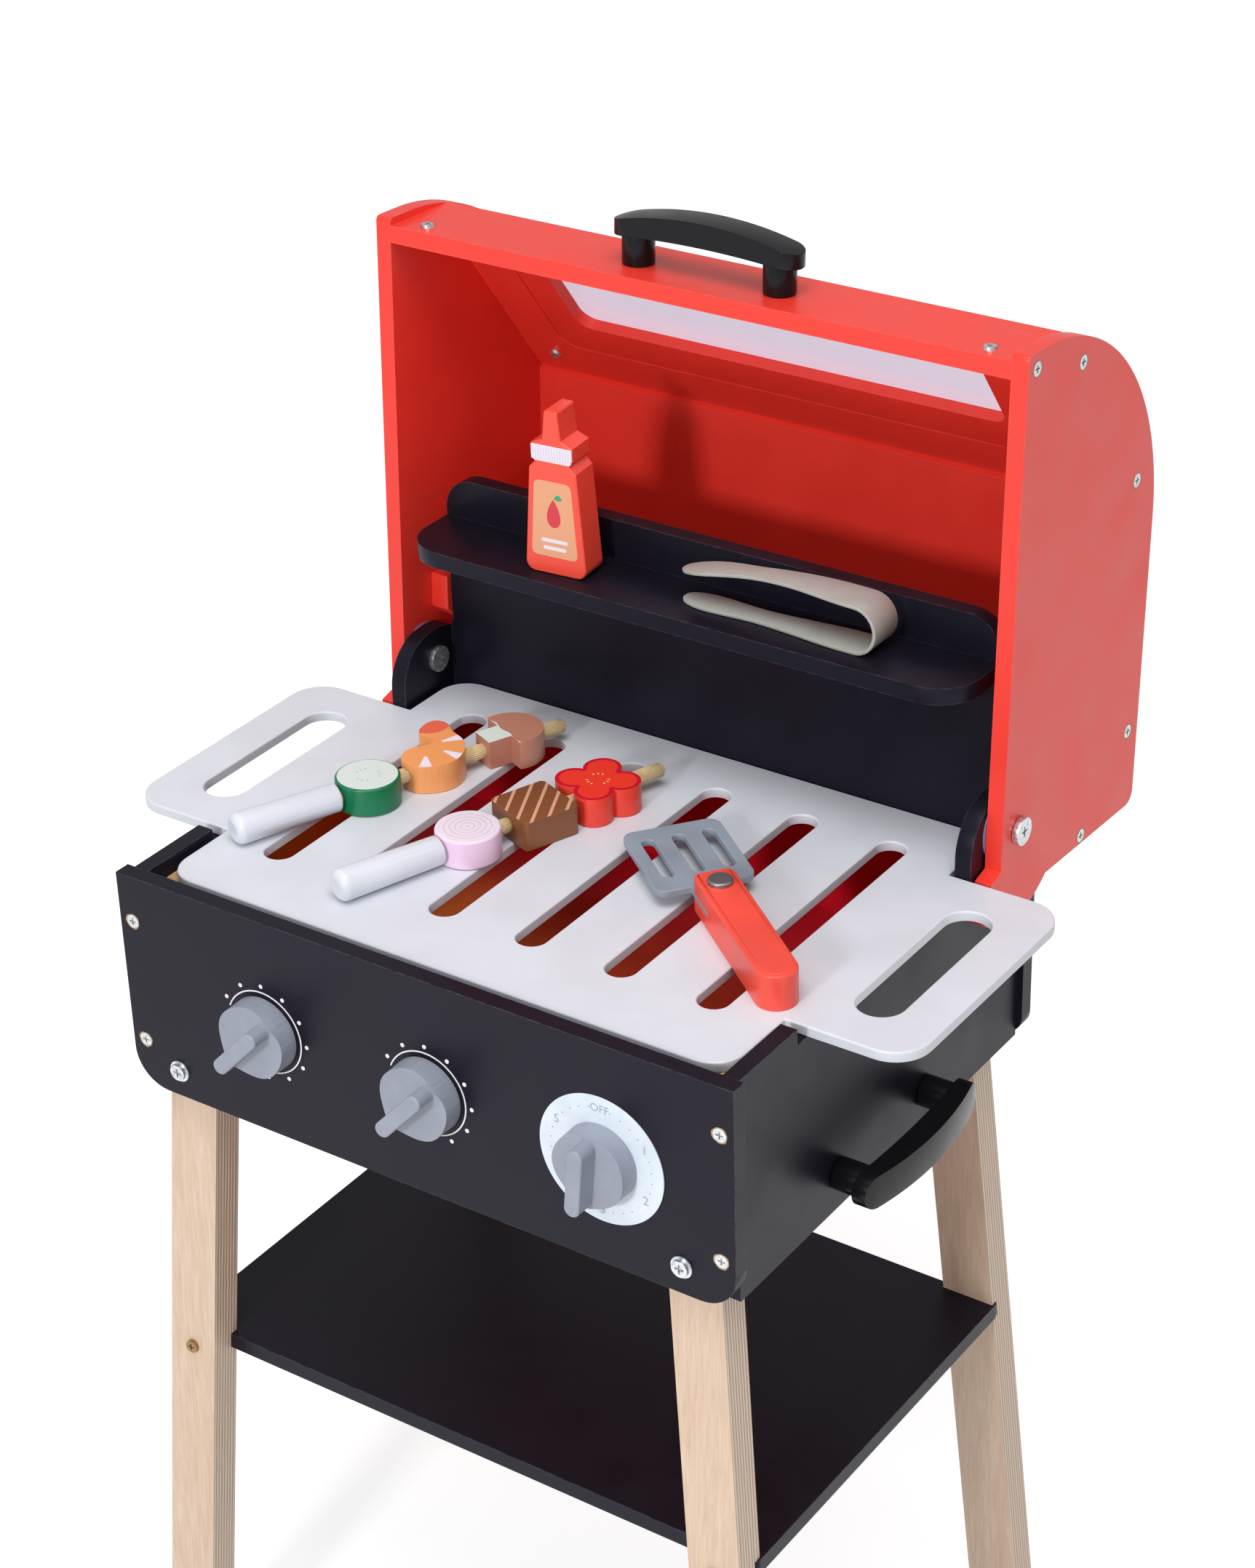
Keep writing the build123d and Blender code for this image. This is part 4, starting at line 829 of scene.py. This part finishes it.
class MakeFood(bpy.types.Operator):
    """Two skewers with painted wooden food"""

    bl_idname = "grill.make_food"
    bl_label = "Skewers"

    def execute(self, context):
        handle = brushed_paint("Lacquered beech, pale grey", "#d9dde6", "#f4f4f6", 0.36, 0.3, 0.1, 0.03)
        paint(handle, "skewer_1_handle", "skewer_2_handle", width_mm=0.8)
        m, t = new_material("Turned beech dowel")
        grain = noise(t, millimetres(t, stretch=(0.3, 0.3, 1)), 0.8, 4.0)
        surface(t, blend(t, grain, "#c9ab77", "#ecd9b0"), 0.55, grain, 0.05)
        paint(m, "skewer_1_stick", "skewer_2_stick", width_mm=0.0)
        flutes = flutes_tree()
        for i, (x, y, angle) in enumerate(SKEWERS):
            turn = math.radians(angle)
            along = Vector((math.cos(turn), math.sin(turn), 0))
            for k, (start, end) in enumerate(FREE_STICK[i]):
                middle = here(x, y, STICK_Z) + along * ((start + end) / 2000)
                from_tree("skewer_" + str(i + 1) + "_flutes_" + str(k + 1), flutes, {
                    "Count": 22, "Radius": 0.0040, "Length": (end - start) / 1000, "Rib": 0.00033,
                    "Centre": middle, "Turn": turn, "Material": m},
                    "skewer_" + str(i + 1), smooth=True)
        one, two = SKEWERS
        # Cucumber: deep green rind on the edge, pale face with three groups of seeds
        m, t = new_material("Lacquered beech, cucumber")
        along, left, level = plan_of(t, one)
        face = both(t, level, inside(t, distance(t, along, left, *CUCUMBER), 17.3))
        toned = blend(t, face, "#05744a", "#d8e3de")
        pips = seeds(t, along, left, *CUCUMBER, 7.0, (70, 95, 120, 190, 215, 240, 310, 335, 360))
        lacquer(t, blend(t, both(t, face, pips), toned, "#aab5ae"))
        paint(m, "cucumber_slice")
        # Prawn: orange with three white wedges from its back and a redder tail
        m, t = new_material("Lacquered beech, prawn")
        along, left, level = plan_of(t, one)
        toned = blend(t, both(t, level, inside(t, distance(t, along, left, 144.0, 34.0), 13.0)),
                      "#f2a263", "#ea6a50")
        wedges = []
        for a, b, turn in ((119.5, -6.0, 240), (137.0, -6.5, 292), (145.5, 9.0, 352)):
            ahead, aside = ahead_and_aside(t, along, left, a, b, turn)
            width = ramp(t, ahead, -6.5, 5.0, 0.7, 3.6)
            wedges.append(both(t, inside(t, figure(t, "SUBTRACT", figure(t, "ABSOLUTE", aside), width), 0.0),
                               inside(t, figure(t, "MULTIPLY", ahead, -1.0), 6.5), inside(t, ahead, 7.0)))
        lacquer(t, blend(t, both(t, level, any_of(t, wedges)), toned, "#f1eaf4"))
        paint(m, "prawn_piece")
        # Mushroom: brown all round, pale stem face
        m, t = new_material("Lacquered beech, mushroom")
        along, left, level = plan_of(t, one)
        curve = figure(t, "ADD", along, figure(t, "MULTIPLY", figure(t, "SINE", figure(
            t, "MULTIPLY", left, 0.42)), 0.7))
        lacquer(t, blend(t, both(t, level, inside(t, curve, 175.5)), "#bc7f6a", "#dfe5df"))
        paint(m, "mushroom_piece")
        # Onion: pink skin, paler face with thin uneven rings
        m, t = new_material("Lacquered beech, onion")
        along, left, level = plan_of(t, two)
        d = distance(t, along, left, *ONION)
        uneven = figure(t, "MULTIPLY", noise(t, millimetres(t), 7.0, 1.0), 1.6)
        line = inside(t, from_middle(t, figure(t, "DIVIDE", figure(t, "ADD", d, uneven), 3.1)), 0.11, 0.06)
        face = both(t, level, inside(t, d, 17.6))
        toned = blend(t, face, "#efcfea", "#ebe3ec")
        lacquer(t, blend(t, both(t, face, line, inside(t, d, 16.0)), toned, "#dfc3dc"))
        paint(m, "onion_slice")
        # Meat: brown block with six scorched stripes across its corners
        m, t = new_material("Lacquered beech, meat")
        along, left, level = plan_of(t, two)
        q = figure(t, "DIVIDE", figure(t, "SUBTRACT", figure(t, "SUBTRACT", along, MEAT), left), 1.4142)
        line = inside(t, from_middle(t, figure(t, "DIVIDE", figure(t, "ADD", q, 101.0), 8.3)), 0.11, 0.03)
        lacquer(t, blend(t, both(t, level, line), "#84502e", "#dba488"), 0.38)
        paint(m, "meat_piece")
        # Pepper: bright face inside a darker rim that follows the four lobes, cream seeds
        m, t = new_material("Lacquered beech, pepper")
        along, left, level = plan_of(t, two)
        lobes = [inside(t, distance(t, along, left, PEPPER[0] + i, PEPPER[1] + j), 8.7)
                 for i in (-9.5, 9.5) for j in (-9.5, 9.5)]
        face = any_of(t, [*lobes, inside(t, distance(t, along, left, *PEPPER), 12.6)])
        toned = blend(t, level, "#e8402f", "#cc1630")
        toned = blend(t, both(t, level, face), toned, "#f13c2c")
        pips = seeds(t, along, left, *PEPPER, 6.2, (30, 55, 80, 150, 175, 200, 270, 295, 320))
        lacquer(t, blend(t, both(t, level, pips), toned, "#f6d3a6"))
        paint(m, "pepper_slice")
        return {"FINISHED"}


class MakeTools(bpy.types.Operator):
    """Spatula, tongs and bottle"""

    bl_idname = "grill.make_tools"
    bl_label = "Tools and bottle"

    def execute(self, context):
        paint(brushed_paint("Lacquered beech, coral", "#f4503f", "#ffa193", 0.36, 0.3, 0.05), "spatula_handle",
              width_mm=0.8)
        paint(brushed_paint("Painted plywood, slate grey", "#8e99a6", "#c3cad2", 0.4, 0.5, 0.1),
              "spatula_blade", width_mm=0.6)
        paint(matt_steel("Matt steel pin", "#9fa2a6", 0.45), "spatula_pin", width_mm=0.0)
        self.tongs()
        self.spatula_line()
        coral, t = new_material("Lacquered beech, coral")
        lacquer(t, "#f4503e", 0.3)
        paint(coral, "bottle_body", width_mm=0.5)
        self.bottle_prints()
        return {"FINISHED"}

    def tongs(self):
        """One strip, out along the shelf, round a bend and back"""
        # Bead-blasted stainless strip: matt, pale warm grey
        m, t = new_material("Bead-blasted stainless strip")
        cloud = noise(t, millimetres(t), 12.0, 2.0)
        surface(t, blend(t, cloud, "#a3a39b", "#b7b7b0"), 0.5, noise(t, millimetres(t), 0.3), 0.02,
                Metallic=0.15)
        bend_x, bend_out, bend_up, bend_steps = 113, 13.0, 13.6, 16
        stops = (-2.8, -2.5, -2, -1.3, 0, 2, 4.5, 8, 12, 17, 23, 30, 38, 46, 54, 62, 70, 78, 86, 94, 102, 108, bend_x)
        path = [(x, TONGS_LOW) for x in stops]
        path += [(bend_x + bend_out * math.sin(a), TONGS_LOW + bend_up - bend_up * math.cos(a))
                 for a in [math.pi * k / bend_steps for k in range(1, bend_steps)]]
        # Rise of the upper arm, and half width of the leaf by distance from the tips
        arm = ((bend_x, 27.2), (70, 28.0), (30, 24.0), (-3, 17.5))
        leaf = ((0, 0.3), (0.5, 2.2), (1.7, 4.2), (4, 5.9), (7, 7.2), (12, 8.4), (20, 9.0), (33, 8.2), (46, 7.2),
                (60, 7.7), (78, 9.3), (94, 11.0), (108, 11.9), (200, 11.9))
        path += [(x, TONGS_LOW + through(arm, x)) for x in reversed(stops)]
        bm = bmesh.new()
        rows = []
        for x, z, n in with_normals(path):
            half = through(leaf, x + 3.0)
            rows.append([bm.verts.new(here(x + n.x * e, TONGS_Y + side * half, z + n.y * e))
                         for side, e in ((-1, -1), (-1, 1), (1, 1), (1, -1))])
        skin(bm, rows)
        o = mesh_piece("tongs_strip", bm, m, "tongs")
        round_edges(o, 0.4, 2, 50)
        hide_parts("tongs")

    def spatula_line(self):
        """Moulded line round the top of the spatula's handle"""
        x, y, angle = SPATULA
        turn = math.radians(angle)
        start, end, inset, top, bend_steps, sides = -22.5, 75.0, 8.9, 151.95, 14, 8
        line = [(start, -inset), (end, -inset)]
        line += [(end + inset * math.cos(a), inset * math.sin(a)) for a in
                 [-math.pi / 2 + math.pi * k / bend_steps for k in range(1, bend_steps)]]
        line += [(end, inset), (start, inset)]
        bm = bmesh.new()
        rows = []
        for a, b, n in with_normals(line):
            row = []
            for i in range(sides):
                e = 0.45 * math.cos(math.pi * i / 4)
                u, v = a + n.x * e, b + n.y * e
                row.append(bm.verts.new(here(x + u * math.cos(turn) - v * math.sin(turn),
                                             y + u * math.sin(turn) + v * math.cos(turn),
                                             top + 0.35 * math.sin(math.pi * i / 4))))
            rows.append(row)
        skin(bm, rows)
        mesh_piece("spatula_line", bm, NODES["spatula_handle"].data.materials[0], "spatula")

    def bottle_prints(self):
        """Label, collar and marks on the bottle's front, each a thin plate on its face"""
        turn = math.radians(BOTTLE_TURN)
        across = Vector((math.cos(turn), math.sin(turn), 0))
        out = Vector((math.sin(turn), -math.cos(turn), 0))
        foot = here(*BOTTLE_FOOT) + out * 0.010

        def plate(name, outline, material, lift):
            """Thin plate over an outline of millimetres across and up the bottle's face."""
            bm = bmesh.new()
            back, front = [], []
            for a, b in outline:
                spot = foot + across * (a / 1000) + Vector((0, 0, b / 1000))
                back.append(bm.verts.new(spot - out * 0.0002))
                front.append(bm.verts.new(spot + out * (lift / 1000)))
            bm.faces.new(front)
            bm.faces.new(list(reversed(back)))
            for k in range(len(outline)):
                j = (k + 1) % len(outline)
                bm.faces.new((front[k], back[k], back[j], front[j]))
            bmesh.ops.recalc_face_normals(bm, faces=bm.faces)
            mesh_piece(name, bm, material, "bottle", smooth=False)

        def rounded(corners, r, steps=6):
            """Outline with each corner rounded by a short arc."""
            points = []
            for k, corner in enumerate(corners):
                tip = Vector(corner)
                before = (Vector(corners[k - 1]) - tip).normalized() * r
                after = (Vector(corners[(k + 1) % len(corners)]) - tip).normalized() * r
                for i in range(steps + 1):
                    f = i / steps
                    points.append(tuple(tip + before * (1 - f) ** 2 + after * f ** 2))
            return points

        inks = {key: screen_ink(key, colour, 0.45) for key, colour in (
            ("peach", "#e9a67f"), ("white", "#ece4ef"), ("red", "#d93a48"), ("green", "#2aa97c"))}
        plate("bottle_label", rounded(((-15.2, 11.0), (14.8, 11.0), (11.6, 57.5), (-12.0, 57.5)), 4.0),
              inks["peach"], 0.10)
        plate("bottle_band", rounded(((-11.4, 69.2), (11.4, 69.2), (13.1, 72.0), (13.1, 79.0), (-13.1, 79.0),
                                      (-13.1, 72.0)), 0.6, 3), inks["white"], 0.12)
        bars = row_of_bars_tree()
        from_tree("bottle_ribs", bars, {
            "Count": 15, "Start": foot + across * -0.0122 + Vector((0, 0, 0.0744)) + out * 0.0002,
            "Step": across * 0.00174, "Size": (0.0009, 0.0007, 0.0084), "Turn": turn,
            "Material": inks["white"]}, "bottle")
        # A drop over two bands stands for the printed picture and words
        drop = [(5.6 * math.sin(a) * (0.5 - 0.5 * math.cos(a)) ** 0.45, 38.0 + 8.6 * math.cos(a))
                for a in [2 * math.pi * k / 40 for k in range(40)]]
        plate("bottle_drop", drop, inks["red"], 0.16)
        leaf = [(0.6 + 5.2 * f, 47.6 + 2.4 * math.sin(math.pi * f)) for f in [k / 10 for k in range(11)]]
        leaf += [(0.6 + 5.2 * f, 47.6 - 1.2 * math.sin(math.pi * f)) for f in [k / 10 for k in range(9, 0, -1)]]
        plate("bottle_leaf", leaf, inks["green"], 0.18)
        for i, up in enumerate((21.0, 16.4)):
            wide = 8.6 - 1.2 * i
            plate("bottle_line_" + str(i + 1), rounded(((-wide, up - 1.1), (wide, up - 1.1), (wide, up + 1.1),
                                                        (-wide, up + 1.1)), 1.0, 4), inks["white"], 0.16)


class MakeStage(bpy.types.Operator):
    """Floor, soft light and the camera"""

    bl_idname = "grill.make_stage"
    bl_label = "Stage"

    def execute(self, context):
        stage = context.scene.grill_stage
        scene = context.scene
        scene.view_settings.view_transform = "Standard"
        # Floor: matt white sweep that shows pure white to the camera away from the shadow
        bm = bmesh.new()
        for x, y in ((-6, -6), (6, -6), (6, 6), (-6, 6)):
            bm.verts.new((x, y, 0.0))
        bm.faces.new(bm.verts)
        data = bpy.data.meshes.new("floor")
        bm.to_mesh(data)
        bm.free()
        floor = link("floor", data)
        m, t = new_material("Matt white floor")
        light = add(t, "ShaderNodeLightPath")
        seen = figure(t, "MAXIMUM", light.outputs["Is Camera Ray"], light.outputs["Is Glossy Ray"])
        seen = figure(t, "MAXIMUM", seen, light.outputs["Is Transmission Ray"])
        board = add(t, "ShaderNodeBsdfDiffuse", {}, {"Color": "#e6e5e6"})
        glow = add(t, "ShaderNodeEmission", {}, {"Color": (1, 1, 1, 1), "Strength": 0.55})
        lit = add(t, "ShaderNodeAddShader", {}, {0: board.outputs[0], 1: glow.outputs[0]})
        mix = add(t, "ShaderNodeMixShader", {}, {0: seen, 1: board.outputs[0], 2: lit.outputs[0]})
        add(t, "ShaderNodeOutputMaterial", {}, {"Surface": mix.outputs[0]})
        data.materials.append(m)
        # World: white to the camera, a soft grey fill for the object
        world = bpy.data.worlds.new("Soft fill")
        world.use_nodes = True
        scene.world = world
        t = world.node_tree
        t.nodes.clear()
        light = add(t, "ShaderNodeLightPath")
        seen = figure(t, "MAXIMUM", light.outputs["Is Camera Ray"], light.outputs["Is Transmission Ray"])
        fill = add(t, "ShaderNodeBackground", {}, {"Color": (1, 1, 1, 1), "Strength": 0.52})
        white = add(t, "ShaderNodeBackground", {}, {"Color": (1, 1, 1, 1), "Strength": 1.0})
        mix = add(t, "ShaderNodeMixShader", {}, {0: seen, 1: fill.outputs[0], 2: white.outputs[0]})
        add(t, "ShaderNodeOutputWorld", {}, {"Surface": mix.outputs[0]})
        # Softboxes: a wide one overhead and a small one in front that throws the shadows
        for name, place, size, watts in (
            ("Overhead softbox", (0.5, -0.7, 2.9), 1.6, stage.key),
            ("Front softbox", (0.15, -2.15, 1.4), 0.3, 19.5),
        ):
            lamp = bpy.data.lights.new(name, "AREA")
            lamp.shape = "SQUARE"
            lamp.size = size
            lamp.energy = watts
            o = link(name, lamp)
            o.location = place
            o.rotation_euler = (Vector((0, 0, 0.6)) - Vector(place)).to_track_quat("-Z", "Y").to_euler()
        # Camera, from the photograph's viewing angle
        az, el, roll = math.radians(35.06), math.radians(29.19), math.radians(-1.74)
        ahead = Vector((-math.sin(az) * math.cos(el), math.cos(az) * math.cos(el), -math.sin(el)))
        right = Vector((math.cos(az), math.sin(az), 0.0))
        up = right.cross(ahead)
        across = right * math.cos(roll) + up * math.sin(roll)
        above = up * math.cos(roll) - right * math.sin(roll)
        cam = bpy.data.cameras.new("Camera")
        cam.sensor_width = 36.0
        cam.lens = stage.lens
        cam.clip_end = 50.0
        o = link("Camera", cam)
        turned = Matrix((across, above, -ahead)).transposed().to_4x4()
        o.matrix_world = Matrix.Translation(here(947.9, -1147.6, 1074.1)) @ turned
        scene.camera = o
        return {"FINISHED"}


STEPS = (PaintBoards, PaintEmbers, PaintLegs, PaintLid, PaintGrate, MakeKnobs, PaintHardware, MakeScrewRims,
         MakeFood, MakeTools, MakeStage)


class GrillPanel(bpy.types.Panel):
    """Sizes, colours and steps of the grill."""

    bl_idname = "GRILL_PT_panel"
    bl_label = "Barbecue grill"
    bl_space_type = "VIEW_3D"
    bl_region_type = "UI"
    bl_category = "Barbecue grill"

    def draw(self, context):
        for group in (context.scene.grill_paints, context.scene.grill_marks, context.scene.grill_stage):
            for key in group.bl_rna.properties.keys():
                if key not in ("rna_type", "name"):
                    self.layout.prop(group, key)
        for step in STEPS:
            self.layout.operator(step.bl_idname)


GROUPS = (("grill_paints", GrillPaints), ("grill_marks", GrillMarks), ("grill_stage", GrillStage))


def register():
    for name, group in GROUPS:
        bpy.utils.register_class(group)
        setattr(bpy.types.Scene, name, PointerProperty(type=group))
    for step in STEPS:
        bpy.utils.register_class(step)
    bpy.utils.register_class(GrillPanel)


def unregister():
    bpy.utils.unregister_class(GrillPanel)
    for step in reversed(STEPS):
        bpy.utils.unregister_class(step)
    for name, group in reversed(GROUPS):
        delattr(bpy.types.Scene, name)
        bpy.utils.unregister_class(group)


def main():
    register()
    for step in STEPS:
        family, name = step.bl_idname.split(".")
        getattr(getattr(bpy.ops, family), name)()


if __name__ == "__main__":
    main()
